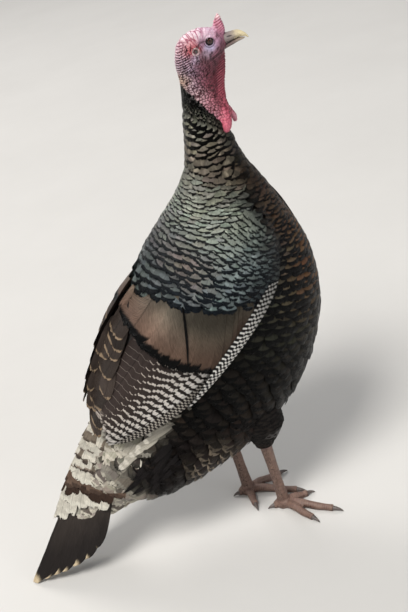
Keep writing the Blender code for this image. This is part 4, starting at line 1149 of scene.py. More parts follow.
def dress_secondaries(coat, face):
    """Fifteen secondaries, barred boldly at the wing's edge and hardly at all towards the back."""
    count = 15
    rank = np.linspace(0.0, 1.0, count)
    tips = along_line(SECONDARY_TIPS, count) + pair(jitter(count, 0.003), jitter(count, 0.001))
    roots = pair(0.120 + 0.085 * rank, -0.034 + 0.122 * rank)
    period = 0.0142 * RNG.uniform(0.95, 1.05, count)
    duty = np.interp(rank, (0.0, 0.30, 0.58, 0.88, 1.0), (0.62, 0.53, 0.39, 0.15, 0.03))
    brown = toward((0.012, 0.009, 0.008), (0.036, 0.026, 0.023), rank[:, None])
    light = toward((0.70, 0.67, 0.63), (0.40, 0.34, 0.29), rank[:, None])
    phase = roots[:, 0] / period + jitter(count, 0.15)
    lay_quills(coat, face, roots, tips, np.radians(24.0 - 34.0 * rank), (period, duty, phase), width=0.036,
               depth=0.0055, tone=brown, edge=np.concatenate([light, np.full((count, 1), 0.012)], axis=1),
               columns=11, tilt=-0.07, camber=0.05)


def dress_greater_coverts(coat, face):
    """The coppery coverts, olive towards their roots and black at the tips, with one dark shaft."""
    count = 12
    rank = np.linspace(0.0, 1.0, count)
    tips = along_line(GREATER_TIPS, count)
    slant = np.radians(np.interp(rank, (0.0, 0.4, 0.75, 1.0), (-36.0, -34.0, -18.0, -4.0)))
    length = np.interp(rank, (0.0, 0.3, 1.0), (0.105, 0.135, 0.125))
    roots = back_from(tips, slant, length)
    copper = np.array((0.120, 0.076, 0.056)) * RNG.uniform(0.80, 1.12, (count, 1))
    copper = copper * np.interp(rank, (0.0, 0.30, 0.60), (0.34, 0.46, 1.0))[:, None]
    olive = np.array((0.118, 0.102, 0.078)) * np.interp(rank, (0.0, 0.5, 1.0), (0.66, 0.86, 1.10))[:, None]
    band = np.interp(rank, (0.0, 0.45, 0.75, 1.0), (0.070, 0.085, 0.120, 0.135)) * RNG.uniform(0.6, 1.3,
                                                                                               count)
    black = np.concatenate([np.full((count, 3), 0.004), band[:, None]], axis=1)
    coat.lay(face, roots, slant, length, 0.042, 0.005, olive, black, unwrap_wing(roots), form=BROAD,
             columns=13,
             tilt=-0.07, camber=0.07, fray=0.022, over=0.0016, fore=copper)
    root, tip = np.array([(0.170, 0.076)]), np.array([(0.254, 0.003)])
    heading, length = aim(root, tip)
    coat.lay(face, root, heading, length, 0.0042, 0.0012, (0.006, 0.005, 0.005), (0.004, 0.004, 0.004, 0.10),
             unwrap_wing(root), form=NARROW, columns=5, over=0.0030, fray=0.010)


def dress_shoulder(coat, face):
    """Small coverts from the wrist to the row that covers the greater coverts' roots."""
    spots = []
    along, row = -0.030, 0
    while along < 0.185:
        apart = np.interp(along, *SHOULDER_SPACING)
        low, high = columns_at(WING_ROWS, along, (1, 2))
        beside = apart * 1.15
        across = np.arange(low + 0.5 * beside * (row % 2), high + beside, beside)
        spots.append(pair(along, across))
        along += apart
        row += 1
    spots = np.concatenate(spots)
    spots += RNG.normal(0.0, 0.0010, spots.shape)
    apart = np.interp(spots[:, 0], *SHOULDER_SPACING)
    line = np.array(LESSER_END)
    length = apart * 2.6 + 0.003
    slant = np.radians(np.interp(spots[:, 1], (-0.05, 0.02, 0.09), (-16.0, -24.0, -8.0)))
    slant += np.radians(np.interp(spots[:, 0], (-0.03, 0.05), (16.0, 0.0))) * np.sign(spots[:, 1] - 0.040)
    end = np.interp(spots[:, 1], line[:, 1], line[:, 0])
    keep = spots[:, 0] + length * np.cos(slant) < end + 0.006
    spots, slant, length, apart = spots[keep], slant[keep], length[keep], apart[keep]
    many = len(spots)
    place = face.where(spots + pair(length, 0.0))[0]
    tone, edge = plumage(place)
    low = np.interp(spots[:, 1], (-0.02, 0.03), (1.0, 0.0))[:, None]
    tone = toward(tone, (0.030, 0.036, 0.038), 0.5 * low)
    tone *= RNG.uniform(0.8, 1.22, (many, 1))
    edge[:, 3] *= 0.6 * RNG.uniform(0.8, 1.2, many)
    coat.lay(face, spots, slant + jitter(many, 0.07), length, apart * 1.55, 0.006, tone, edge,
             unwrap_wing(spots),
             form=SQUARE, columns=7, over=jitter(many, 0.0003), camber=0.10, tilt=jitter(many, 0.03))


CREAM, DARK = (0.50, 0.47, 0.40), (0.035, 0.020, 0.014)
# Rows of upper tail coverts: where their tips lie, length, tone, tip tone and band, bars.
# The brown rows at 0.1142, 0.0942 and 0.0526 end just past a pale row and show as thin dark lines below it;
# with the dark tips of some pale rows they are partly the coverts' own dark bars and partly painted shadow
# under the row above.
COVERTS = [
    (0.236, 0.095, CREAM, (0.60, 0.57, 0.49, 0.10), (5.0, 0.07, 0.3)),
    (0.214, 0.085, CREAM, (0.60, 0.57, 0.49, 0.10), (4.0, 0.07, 0.1)),
    (0.190, 0.080, CREAM, (0.60, 0.57, 0.49, 0.12), (4.0, 0.06, 0.5)),
    (0.170, 0.075, (0.085, 0.052, 0.038), (*DARK, 0.22), (0.0, 0.0, 0.0)),
    (0.156, 0.070, (0.12, 0.078, 0.056), (0.060, 0.038, 0.028, 0.12), (0.0, 0.0, 0.0)),
    (0.134, 0.065, CREAM, (0.58, 0.55, 0.47, 0.16), (4.0, 0.06, 0.2)),
    (0.1142, 0.060, (0.13, 0.105, 0.080), (0.055, 0.042, 0.034, 0.10), (0.0, 0.0, 0.0)),
    (0.112, 0.065, CREAM, (0.24, 0.19, 0.15, 0.05), (0.0, 0.0, 0.0)),
    (0.0942, 0.060, (0.15, 0.120, 0.092), (0.055, 0.042, 0.034, 0.10), (0.0, 0.0, 0.0)),
    (0.092, 0.065, CREAM, (0.58, 0.54, 0.46, 0.16), (0.0, 0.0, 0.0)),
    (0.070, 0.062, CREAM, (0.14, 0.11, 0.09, 0.05), (0.0, 0.0, 0.0)),
    (0.0526, 0.058, (0.16, 0.13, 0.10), (0.10, 0.080, 0.062, 0.10), (0.0, 0.0, 0.0)),
    (0.050, 0.060, CREAM, (0.56, 0.52, 0.44, 0.16), (0.0, 0.0, 0.0)),
    (0.030, 0.058, CREAM, (0.14, 0.11, 0.09, 0.05), (0.0, 0.0, 0.0)),
    (0.012, 0.055, CREAM, (0.56, 0.52, 0.44, 0.14), (0.0, 0.0, 0.0)),
    (-0.005, 0.050, CREAM, (0.12, 0.09, 0.07, 0.06), (0.0, 0.0, 0.0)),
    (-0.022, 0.045, (0.40, 0.37, 0.31), (0.56, 0.52, 0.44, 0.14), (0.0, 0.0, 0.0)),
]


def unwrap_tail(spot):
    return pair((spot[:, 1] + 0.13) / 0.26, (spot[:, 0] + 0.06) / 0.48)


def dress_tail(coat):
    """Eighteen tail feathers, the middle ones on top, then rows of pale upper coverts."""
    face = tail_face(TAIL_ROWS)
    rank = np.repeat(np.arange(9), 2)[::-1]
    side = np.tile((-1.0, 1.0), 9)
    down = 0.394 - 0.0030 * rank - 0.0016 * rank ** 2 + jitter(18, 0.002)
    half = np.interp(down, TAIL_ROWS[:, 0], TAIL_ROWS[:, 1])
    aside = side * (0.003 + half * np.minimum(rank / 8.0 + 0.18, 1.0) * 0.97)
    roots = pair(0.030, aside * 0.45)
    bend = -side * 0.10
    heading, length = aim(roots, pair(down, aside), bend)
    coat.lay(face, roots, heading, length, 0.052, 0.004, (0.050, 0.040, 0.034), (0.62, 0.50, 0.33, 0.048),
             unwrap_tail(roots), form=QUILL, columns=11, bend=bend, tilt=side * 0.05, camber=0.05, fray=0.003,
             over=-0.0004 * rank, fore=(0.016, 0.013, 0.012))
    face = tail_face(COVERT_ROWS)
    for row, (tip, length, tone, edge, bars) in enumerate(COVERTS):
        half = np.interp(tip, COVERT_ROWS[:, 0], COVERT_ROWS[:, 1])
        count = max(int(round(2.0 * half / 0.019)), 2)
        aside = (np.arange(count) + 0.5) / count * 2.0 - 1.0 + (0.5 * (row % 2) - 0.25) * 2.0 / count
        tips = pair(tip - 0.028 * aside ** 2 + jitter(count, 0.003), aside * half)
        roots = tips - pair(length, aside * half * 0.22)
        heading, reach = aim(roots, tips)
        tone = np.array(tone) * RNG.uniform(0.88, 1.10, (count, 1))
        coat.lay(face, roots, heading, reach * RNG.uniform(0.92, 1.08, count), 0.028, 0.006, tone, edge,
                 unwrap_tail(roots), bars=bars, form=BROAD, columns=11, camber=0.08, fray=0.020,
                 over=jitter(count, 0.0004), tilt=jitter(count, 0.03))


def thigh_stops(leg):
    hip, knee, ankle = (np.array(leg[k], float) for k in ("hip", "knee", "ankle"))
    return hip, 0.5 * (hip + knee), knee, 0.5 * (knee + ankle), ankle


def dress_thigh(coat, leg):
    """Rings of small dark feathers from hip to ankle."""
    face, reach = tube_face(thigh_stops(leg), THIGH)
    down = np.arange(0.0, reach - 0.004, 0.0085)
    for row, along in enumerate(down):
        count = 17 if along < 0.10 else 13
        turn = (np.arange(count) + 0.5 * (row % 2)) / count * 2.0 * np.pi
        spots = pair(along, turn * RING) + RNG.normal(0.0, 0.0008, (count, 2))
        length = np.minimum(0.024, reach + 0.006 - along)
        low = np.interp(along, (reach - 0.04, reach), (0.0, 1.0))
        tone = toward((0.015, 0.012, 0.010), (0.045, 0.026, 0.018), low)
        coat.lay(face, spots, jitter(count, 0.10), length, 0.0155, 0.004, tone, (0.004, 0.003, 0.003, 0.2),
                 pair(turn / (2.0 * np.pi) % 1.0, along / reach), form=ROUND, columns=5,
                 over=jitter(count, 0.0004), fray=0.05)


# Half width and half depth of the thigh at its stops.
THIGH = ((0.034, 0.046), (0.036, 0.047), (0.033, 0.042), (0.025, 0.031), (0.0145, 0.0170))
GLOSS = vane_material("gloss_feathers", 0.70, 0.38, streaks=0.14, gloss=0.08, wrap=0.09,
                      dusk=(0.40, 0.70, 0.30))
SILK = vane_material("covert_vanes", 0.50, 0.42, streaks=0.34, gloss=0.08, ragged=0.14, wrap=0.03,
                     dusk=(0.30, 0.60, 0.45))
INNER = vane_material("inner_vanes", 0.20, 0.50, streaks=0.25, gloss=0.10, ragged=0.035, wrap=0.10,
                      dusk=(0.20, 0.55, 0.55))
FLAT = vane_material("flight_vanes", 0.0, 0.58, streaks=0.20, gloss=0.10)
body_coat = Coat("coat_body", (0.01, 0.01), (0.54, 0.98))
rump_coat = Coat("coat_rump", (0.01, 0.01), (0.54, 0.98))
dress_body(body_coat, rump_coat)
dress_flank(rump_coat)
dress_head(body_coat)
body_coat.build(GLOSS, "body_feathers")
rump_coat.build(FLAT, "tail_covert_feathers")
for side, mirror, low in (("right", -1.0, 0.51), ("left", 1.0, 0.01)):
    wing_coat, covert_coat, inner_coat = (
        Coat(f"coat_{kind}_{side}", (0.57, low), (0.19, 0.48)) for kind in ("wing", "coverts", "inner"))
    dress_wing(wing_coat, covert_coat, inner_coat, mirror)
    inner_coat.build(INNER, "flight_feathers")
    wing_coat.build(FLAT, "flight_feathers")
    covert_coat.build(SILK, "covert_feathers")
tail_coat = Coat("coat_tail", (0.78, 0.51), (0.20, 0.48))
dress_tail(tail_coat)
tail_coat.build(FLAT, "tail_covert_feathers")
thigh_coat = Coat("coat_thighs", (0.78, 0.01), (0.20, 0.48))
for leg in LEGS.values():
    dress_thigh(thigh_coat, leg)
thigh_coat.build(FLAT, "black_feathers")


# ---------------------------------------------------------------- the skin under and between
def ring_loft(rings):
    """One closed mesh (points, faces) from rings of points."""
    rings = np.array(rings, float)
    rows, columns = rings.shape[:2]
    cell = np.arange(rows * columns).reshape(rows, columns)
    near = np.roll(cell, -1, axis=1)
    faces = np.stack([cell[:-1], near[:-1], near[1:], cell[1:]], axis=-1).reshape(-1, 4).tolist()
    points = rings.reshape(-1, 3).tolist()
    points += [rings[0].mean(axis=0).tolist(), rings[-1].mean(axis=0).tolist()]
    top, end = len(points) - 2, len(points) - 1
    for k in range(columns):
        faces.append((top, cell[0, (k + 1) % columns], cell[0, k]))
        faces.append((end, cell[-1, k], cell[-1, (k + 1) % columns]))
    return points, faces


def bar(stops, sides=16, per=6, side=(0.0, 1.0, 0.0)):
    """Rings round a bent bar from (x, y, z, half width, half depth) stops."""
    rows = curve(stops, per)
    path = rows[:, :3]
    way = np.gradient(path, axis=0)
    way /= np.linalg.norm(way, axis=1, keepdims=True)
    deep = np.cross(way, np.array(side, float))
    deep /= np.linalg.norm(deep, axis=1, keepdims=True)
    wide = np.cross(deep, way)
    turn = 2.0 * np.pi * np.arange(sides) / sides
    return (path[:, None] + wide[:, None] * (np.cos(turn)[None, :] * rows[:, 3:4])[..., None]
            + deep[:, None] * (np.sin(turn)[None, :] * rows[:, 4:5])[..., None])


SNOOD = [
    (0.1030, 0.9420, 0.0090, 0.0105), (0.1040, 0.9500, 0.0085, 0.0100), (0.1050, 0.9590, 0.0066, 0.0076),
    (0.1064, 0.9670, 0.0040, 0.0046), (0.1075, 0.9730, 0.0015, 0.0018),
]
# Dewlap rows: back x, front x, z, half width.
DEWLAP = [
    (0.074, 0.1055, 0.9190, 0.0050), (0.070, 0.1060, 0.9080, 0.0080), (0.068, 0.1015, 0.8850, 0.0078),
    (0.066, 0.0948, 0.8600, 0.0085), (0.066, 0.0925, 0.8350, 0.0120), (0.068, 0.0965, 0.8120, 0.0140),
]
LOBES = {
    "right": [
        (0.0815, -0.0123, 0.8210, 0.0075, 0.0085), (0.0805, -0.0211, 0.8110, 0.0085, 0.0095),
        (0.0775, -0.0264, 0.7990, 0.0080, 0.0088), (0.0755, -0.0273, 0.7890, 0.0040, 0.0045),
    ],
    "left": [
        (0.0880, 0.0050, 0.8230, 0.0060, 0.0070), (0.0950, 0.0080, 0.8110, 0.0055, 0.0058),
        (0.1010, 0.0110, 0.7990, 0.0052, 0.0054), (0.1020, 0.0115, 0.7890, 0.0034, 0.0036),
    ],
}
# Shank and heel: share of the way down, half width, half depth.
SHANK = (
    (0.00, 0.0105, 0.0130), (0.12, 0.0092, 0.0118), (0.40, 0.0080, 0.0106), (0.75, 0.0082, 0.0106),
    (1.00, 0.0105, 0.0122),
)
HEEL = ((0.0, 0.0105, 0.0122), (0.45, 0.0145, 0.0155), (1.0, 0.0135, 0.0145))
HEEL_HEIGHT = 0.020


def toe_way(leg, name):
    heading = math.radians(leg["toes"][name])
    return np.array((math.cos(heading), math.sin(heading), 0.0))


def flesh_parts():
    """Closed lofts of all the flesh: body, wings, snood, dewlap and its lobes, legs and feet."""
    rows = np.linspace(0.0, BODY_ROWS, BODY_ROWS * 6 + 1)
    depth = np.interp(rows, (8.2, 9.5, 12.0, 14.0), (0.0003, 0.004, 0.007, 0.008))
    parts = [ring_loft(body_grid(6, 96, depth)[0])]
    for mirror in (-1.0, 1.0):
        shell = wing_grid(mirror, -0.020, 0.330, 60, 24)
        inner = shell.copy()
        shell[..., 1] -= mirror * 0.009
        inner[..., 1] -= mirror * np.interp(np.arange(60), (0, 12, 59), (0.016, 0.036, 0.020))[:, None]
        middle = shell.mean(axis=1, keepdims=True)
        shell, inner = middle + (shell - middle) * 0.92, inner + (middle - inner) * np.array((0.10, 0.0,
                                                                                              0.10))
        parts.append(ring_loft(np.concatenate([shell, inner[:, ::-1]], axis=1)))
    parts.append(ring_loft(bar([(x, 0.0, z, wide, deep) for x, z, wide, deep in SNOOD], 20)))
    turn = 2.0 * np.pi * np.arange(24) / 24
    rings = []
    for back, front, z, half in curve(DEWLAP, 4):
        middle = back + (front - back) * 0.4
        reach = np.where(np.cos(turn) > 0, front - middle, middle - back)
        rings.append(np.stack([middle + reach * np.cos(turn), half * np.sin(turn), 0 * turn + z], axis=1))
    parts.append(ring_loft(rings))
    for stops in LOBES.values():
        parts.append(ring_loft(bar(stops, 16)))
    for leg in LEGS.values():
        ankle, foot = (np.array(leg[k], float) for k in ("ankle", "foot"))
        parts.append(ring_loft(bar([(*p, w - 0.004, d - 0.004) for p,
                                    (w, d) in zip(thigh_stops(leg), THIGH)], 24)))
        heel = foot + np.array((0.0, 0.0, HEEL_HEIGHT))
        top = ankle + (foot - ankle) / np.linalg.norm(foot - ankle) * 0.0005 + np.array((0.0, 0.0, 0.008))
        parts.append(ring_loft(bar([(*(top + (heel - top) * share), w, d) for share, w, d in SHANK], 20)))
        parts.append(ring_loft(bar([(*(heel + (foot - heel) * share), w, d) for share, w, d in HEEL], 20)))
        for name, (length, _, joints) in TOES.items():
            ahead = toe_way(leg, name)
            stops = []
            for k in range(joints * 2 + 1):
                share = k / (joints * 2)
                radius = 0.0088 - 0.0026 * share + (0.0007 if k % 2 == 0 else 0.0)
                rise = 0.0062 + 0.0045 * math.sin(math.pi * min(share * 1.6, 1.0))
                at = foot + ahead * (0.004 + (length - 0.004) * share) + np.array((0.0, 0.0, rise))
                stops.append((*at, radius, radius))
            parts.append(ring_loft(bar(stops, 16, 5, (-ahead[1], ahead[0], 0.0))))
    return parts


def scatter(cells, seed):
    """Three numbers from 0 to 1 for each lattice cell, always the same for the same cell."""
    x, y, z = (cells[:, k].astype(np.uint64) for k in range(3))
    mixed = (
        x * np.uint64(73856093) ^ y * np.uint64(19349663) ^ z * np.uint64(83492791)
        ^ np.uint64(seed * 2654435761)
    )
    out = []
    for k in range(3):
        mixed = (mixed ^ (mixed >> np.uint64(13))) * np.uint64(0x9E3779B97F4A7C15 >> 1)
        out.append(((mixed >> np.uint64(20)) & np.uint64(0xFFFFF)).astype(float) / 0xFFFFF)
    return np.stack(out, axis=1)


NEAR = [(i, j, k) for i in (-1, 0, 1) for j in (-1, 0, 1) for k in (-1, 0, 1)]


def beads(points, sizes, seed):
    """Distances to the nearest and the second nearest of centres scattered one to a cell."""
    scaled = points / np.array(sizes, float)
    base = np.floor(scaled).astype(np.int64)
    first, second = np.full(len(points), 9.0), np.full(len(points), 9.0)
    for shift in NEAR:
        cell = base + np.array(shift)
        gap = np.linalg.norm(cell + 0.5 + (scatter(cell + 4096, seed) - 0.5) * 0.85 - scaled, axis=1)
        second = np.where(gap < first, first, np.minimum(second, gap))
        first = np.minimum(first, gap)
    return first, second


def mist(points, size, seed):
    """Smooth noise from 0 to 1."""
    scaled = points / size
    base = np.floor(scaled).astype(np.int64)
    part = scaled - base
    part = part * part * (3.0 - 2.0 * part)
    total = np.zeros(len(points))
    for i in (0, 1):
        for j in (0, 1):
            for k in (0, 1):
                share = np.ones(len(points))
                for axis, end in enumerate((i, j, k)):
                    share *= part[:, axis] if end else 1.0 - part[:, axis]
                total += share * scatter(base + np.array((i, j, k)) + 4096, seed)[:, 0]
    return total


def smooth(value, start, stop):
    share = np.clip((value - start) / (stop - start), 0.0, 1.0)
    return share * share * (3.0 - 2.0 * share)


def beside_path(x, z, path):
    """How far (x, z) is from the nearest stretch of a path."""
    gaps = []
    for a, b in zip(path, path[1:]):
        way = np.array(b, float) - np.array(a, float)
        share = np.clip(((x - a[0]) * way[0] + (z - a[1]) * way[1]) / (way @ way), 0.0, 1.0)
        gaps.append(np.hypot(x - a[0] - share * way[0], z - a[1] - share * way[1]))
    return np.min(gaps, axis=0)


EYE_OPENING = (0.0063, 0.0058, math.radians(-12.0))
EYEBALL = 0.0085
EYE_CREASE = ((0.0735, 0.9400), (0.0660, 0.9395), (0.0590, 0.9340))
JAW = ((0.1020, 0.9165), (0.0870, 0.9120), (0.0760, 0.9085))
# Bare skin lies above HEAD_FROM and below LEGS_TO; behind TAIL_FROM there is only tail.
HEAD_FROM, LEGS_TO, TAIL_FROM = 0.785, 0.185, -0.13


def head_relief(place, normal):
    """Moves the bare skin into folds, beads, lids and ears. Returns places, relief and darkness: painted
    shade in the creases behind the eyes and along the jaw, and round the eyes partly their dark skin and
    partly painted shade.
    """
    x, y, z = place[:, 0], place[:, 1], place[:, 2]
    bead, fold, wrinkle = blend(RELIEF, x, z, (3, 4, 5))
    bead, fold, wrinkle = bead[:, 0], fold[:, 0], wrinkle[:, 0]
    warp = (mist(place, 0.006, 5) - 0.5) * 0.0022
    first, second = beads(place + warp[:, None], (0.0060, 0.0060, 0.0044), 1)
    bead_high = np.sqrt(np.maximum(1.0 - (first / 0.66) ** 2, 0.0))
    bead_top = smooth(second - first, 0.04, 0.34)
    turn = np.arctan2(z - 0.925, x - 0.066) * 0.034
    laid = np.stack([turn + warp, y, 0.3 * np.hypot(z - 0.925, x - 0.066)], axis=1)
    near, far = beads(laid, (0.0060, 0.0180, 0.0120), 2)
    fold_high = np.sqrt(np.maximum(1.0 - (near / 0.66) ** 2, 0.0))
    fold_top = smooth(far - near, 0.04, 0.30)
    wave = np.sin((z - 0.35 * x + 0.7 * warp) / 0.0038 * 2.0 * np.pi + 2.0 * mist(place, 0.012, 8))
    wrinkle_top = smooth(wave, -0.7, 0.5)
    high = 0.0014 * (bead * (bead_high - 0.45) + fold * (fold_high - 0.45) + wrinkle * (wrinkle_top - 0.5))
    total = bead + fold + wrinkle
    relief = (bead * bead_top + fold * fold_top + wrinkle * wrinkle_top + 0.25 * 0.75) / (total + 0.25)
    out = place + normal * high[:, None]
    shade = np.zeros(len(place))
    for mirror in (-1.0, 1.0):
        near_side = (y * mirror > 0.004) & (z > 0.915)
        dx, dz = x - EYE[0], z - EYE[2]
        wide, tall, tip = EYE_OPENING
        along = dx * math.cos(tip) + dz * math.sin(tip)
        up = -dx * math.sin(tip) + dz * math.cos(tip)
        reach = np.hypot(along / wide, (up + 0.0009) / tall)
        gap = np.hypot(dx, dz)
        ball = abs(EYE[1]) + np.sqrt(np.maximum(EYEBALL ** 2 - gap ** 2, 0.0))
        lid = ball + 0.0004 + 0.0005 * hump(reach, 1.18, 0.16)
        lifted = np.maximum(out[:, 1] * mirror, np.where(gap < 0.0083, lid, -1.0))
        inside = smooth(reach, 0.93, 1.06)
        lifted = lifted * inside + (ball - 0.0016) * (1.0 - inside)
        lifted -= 0.0006 * hump(gap, 0.0086, 0.0012)
        out[:, 1] = np.where(near_side & (gap < 0.012), lifted * mirror, out[:, 1])
        # dark rim and crescent round the eye: partly the dark skin there and partly painted shade
        below = smooth(-dz, -0.0010, 0.0020)
        rim = 1.0 - smooth(reach, 1.04, 1.42 - 0.24 * below)
        crescent = 0.92 * hump(reach, 1.44, 0.14) * below
        shade = np.where(near_side, np.maximum(shade, np.maximum(rim, crescent)), shade)
        # creases behind the eye and along the jaw: a shallow dip darkened with painted shade
        for path, breadth, deep, dark, where in (
            (EYE_CREASE, 0.0019, 0.0010, 0.72, near_side),
            (JAW, 0.0016, 0.0009, 0.60, y * mirror > 0.004),
        ):
            dip = hump(beside_path(x, z, path), 0.0, breadth) * where
            out[:, 1] -= mirror * deep * dip
            shade = np.maximum(shade, dark * dip)
        ear = np.hypot(x - EAR[0], (z - EAR[1]) * 0.92)
        ring = hump(ear, 0.0052, 0.0010) * near_side
        hole = (1.0 - smooth(ear, 0.0030, 0.0044)) * near_side
        out[:, 1] += mirror * (0.0009 * ring - 0.0014 * hole)
    return out, relief, shade


def leg_relief(place, normal):
    """Scutes down the front of the shanks and along the toes, small scales behind."""
    x, y, z = place[:, 0], place[:, 1], place[:, 2]
    high, relief = np.zeros(len(place)), np.full(len(place), 0.6)
    first, second = beads(place, (0.0024, 0.0024, 0.0028), 3)
    small = smooth(second - first, 0.03, 0.28)
    for side, leg in LEGS.items():
        foot = np.array(leg["foot"], float)
        mine = (y > 0.008) if side == "left" else (y <= 0.008)
        ahead = smooth(normal[:, 0], -0.15, 0.25)
        run = (z + 0.10 * np.abs(y - foot[1])) / 0.0050 + 0.25 * mist(place, 0.02, 4)
        shank = smooth(np.abs(run % 1.0 - 0.5), 0.50, 0.40)
        out = np.hypot(x - foot[0], y - foot[1])
        toes = smooth(np.abs((out / 0.0046) % 1.0 - 0.5), 0.50, 0.38)
        above = smooth(normal[:, 2], 0.15, 0.55)
        low = 1.0 - smooth(z, 0.016, 0.030)
        scute = shank * (1.0 - low) + toes * low
        front = ahead * (1.0 - low) + above * low
        here = scute * front + small * (1.0 - front)
        relief = np.where(mine, here, relief)
        high = np.where(mine, 0.0005 * (scute - 0.7) * front + 0.0003 * (small - 0.6) * (1.0 - front), high)
    return place + normal * high[:, None], relief


def turn_outwards(mesh):
    edit = bmesh.new()
    edit.from_mesh(mesh)
    bmesh.ops.recalc_face_normals(edit, faces=edit.faces)
    edit.to_mesh(mesh)
    edit.free()


def even_mesh(made, voxel):
    """The object's parts fused by a voxel remesh and smoothed a little."""
    turn_outwards(made.data)
    remesh = made.modifiers.new("even", "REMESH")
    remesh.mode = "VOXEL"
    remesh.voxel_size = voxel
    rounded = made.modifiers.new("smooth", "SMOOTH")
    rounded.iterations = 3
    rounded.factor = 0.5
    graph = bpy.context.evaluated_depsgraph_get()
    even = bpy.data.meshes.new_from_object(made.evaluated_get(graph))
    made.modifiers.clear()
    made.data = even
    return even


def refine(mesh, chosen):
    """Cuts each edge of the faces round the chosen vertices in two."""
    edit = bmesh.new()
    edit.from_mesh(mesh)
    edit.verts.ensure_lookup_table()
    edges = {edge for vertex in edit.verts if chosen[vertex.index] for edge in vertex.link_edges}
    bmesh.ops.subdivide_edges(edit, edges=list(edges), cuts=1, use_grid_fill=True, smooth=0.6)
    edit.to_mesh(mesh)
    edit.free()


def read_points(mesh, normals=False):
    source = mesh.vertex_normals if normals else mesh.vertices
    field = np.empty(len(mesh.vertices) * 3, np.float32)
    source.foreach_get("vector" if normals else "co", field)
    return field.reshape(-1, 3).astype(float)


def build_skin():
    """One mesh from all the flesh, made even, given its relief and coloured by place."""
    points, faces = [], []
    for some, their in flesh_parts():
        faces += [tuple(int(k) + len(points) for k in face) for face in their]
        points += some
    mesh = bpy.data.meshes.new("skin")
    mesh.from_pydata([tuple(p) for p in points], [], faces)
    made = add_object("skin", mesh)
    even = even_mesh(made, 0.0022)
    even.name = "skin"
    for step in range(2):
        place = read_points(even)
        bare = (place[:, 2] > HEAD_FROM) & (place[:, 0] > 0.010)
        if step == 0:
            bare |= (place[:, 2] < LEGS_TO) & (place[:, 0] > TAIL_FROM) & (np.abs(place[:, 1]) < 0.14)
        refine(even, bare)
    even.update()
    place, normal = read_points(even), read_points(even, normals=True)
    place[:, 2] = np.maximum(place[:, 2], 0.0)
    out, relief, shade = place.copy(), np.full(len(place), 0.6), np.zeros(len(place))
    head = place[:, 2] > HEAD_FROM
    out[head], relief[head], shade[head] = head_relief(place[head], normal[head])
    legs = (place[:, 2] < LEGS_TO) & (place[:, 0] > TAIL_FROM)
    out[legs], relief[legs] = leg_relief(place[legs], normal[legs])
    out[:, 2] = np.maximum(out[:, 2], 0.0)
    tone, valley = blend(SKIN, place[:, 0], place[:, 2], (3, 4))
    pale = mist(place, 0.0035, 6)[:, None]
    grain = mist(place, 0.0013, 9)[:, None]
    tone = tone * (0.80 + 0.40 * pale) * (0.78 + 0.44 * grain)
    # painted shade in the creases behind the eyes and along the jaw; round the eyes partly their dark skin,
    # partly painted shade
    tone = toward(tone, (0.036, 0.013, 0.016), shade[:, None])
    ear = np.hypot(place[:, 0] - EAR[0], (place[:, 2] - EAR[1]) * 0.92)[:, None]
    tone = toward(tone, (0.46, 0.38, 0.37), hump(ear, 0.0052, 0.0011))
    tone = toward(tone, (0.060, 0.068, 0.062), 1.0 - smooth(ear, 0.0030, 0.0042))
    leg = ((1.0 - smooth(place[:, 2], 0.165, LEGS_TO)) * (place[:, 0] > TAIL_FROM))[:, None]
    tone, valley = toward(tone, LEG_TONES[0], leg), toward(valley, LEG_TONES[1], leg)
    v_edge = 0.821 + (0.064 - place[:, 0]) * 1.6
    covered = (1.0 - smooth(place[:, 2], v_edge - 0.011, v_edge - 0.003)) * smooth(place[:, 2], 0.165, 0.190)
    front = (place[:, 0] > 0.070) & (place[:, 2] > 0.780)
    covered = np.where(front, 0.0, covered)
    covered = np.maximum(covered, (place[:, 0] < TAIL_FROM) & (place[:, 2] > 0.03))[:, None]
    tone = toward(tone, (0.020, 0.017, 0.016), covered)
    valley = toward(valley, (0.012, 0.010, 0.010), covered)
    even.vertices.foreach_set("co", (out + ORIGIN).astype(np.float32).ravel())
    store_field(even, "tone", np.concatenate([tone, relief[:, None]], axis=1))
    store_field(even, "edge", np.concatenate([valley, np.ones((len(place), 1))], axis=1))
    smooth_faces(even)
    even.materials.clear()
    even.materials.append(skin_material())
    even.update()
    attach(made, "root")
    return made


skin = build_skin()
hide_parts(*[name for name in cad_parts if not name.startswith(("eye", "bill", "claw", "beard"))])


# ---------------------------------------------------------------- bill, eyes and claws
# Bill rows: x, top z, bottom z, half width.
BILL_UPPER = [
    (0.0980, 0.9405, 0.9230, 0.0095), (0.1120, 0.9400, 0.9240, 0.0088), (0.1240, 0.9398, 0.9262, 0.0077),
    (0.1340, 0.9390, 0.9272, 0.0066), (0.1420, 0.9345, 0.9262, 0.0046), (0.1475, 0.9285, 0.9232, 0.0022),
    (0.1495, 0.9245, 0.9222, 0.0009),
]
BILL_LOWER = [
    (0.0960, 0.9210, 0.9130, 0.0088), (0.1100, 0.9225, 0.9160, 0.0080), (0.1220, 0.9252, 0.9188, 0.0068),
    (0.1320, 0.9264, 0.9212, 0.0054), (0.1395, 0.9256, 0.9222, 0.0034), (0.1430, 0.9246, 0.9230, 0.0014),
]
# The beard's stops down the breast: x, z and half width.
BEARD = (
    (0.116, 0.6960, 0.004), (0.147, 0.6480, 0.006), (0.169, 0.5940, 0.006), (0.185, 0.5400, 0.005),
    (0.191, 0.5000, 0.002),
)
BRISTLES = 46


def solid(name, lofts, material, slot, *nodes):
    """Closed lofts joined in one smooth mesh, which stands for these nodes."""
    points, quads = [], []
    for rings in lofts:
        some, their = ring_loft(rings)
        for face in their:
            quads.append([int(k) + len(points) for k in face])
        points += some
    mesh = bpy.data.meshes.new(name)
    mesh.from_pydata([tuple(np.array(p) + ORIGIN) for p in points], [], quads)
    turn_outwards(mesh)
    smooth_faces(mesh)
    mesh.materials.append(material)
    made = add_object(name, mesh)
    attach(made, "root")
    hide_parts(*nodes)


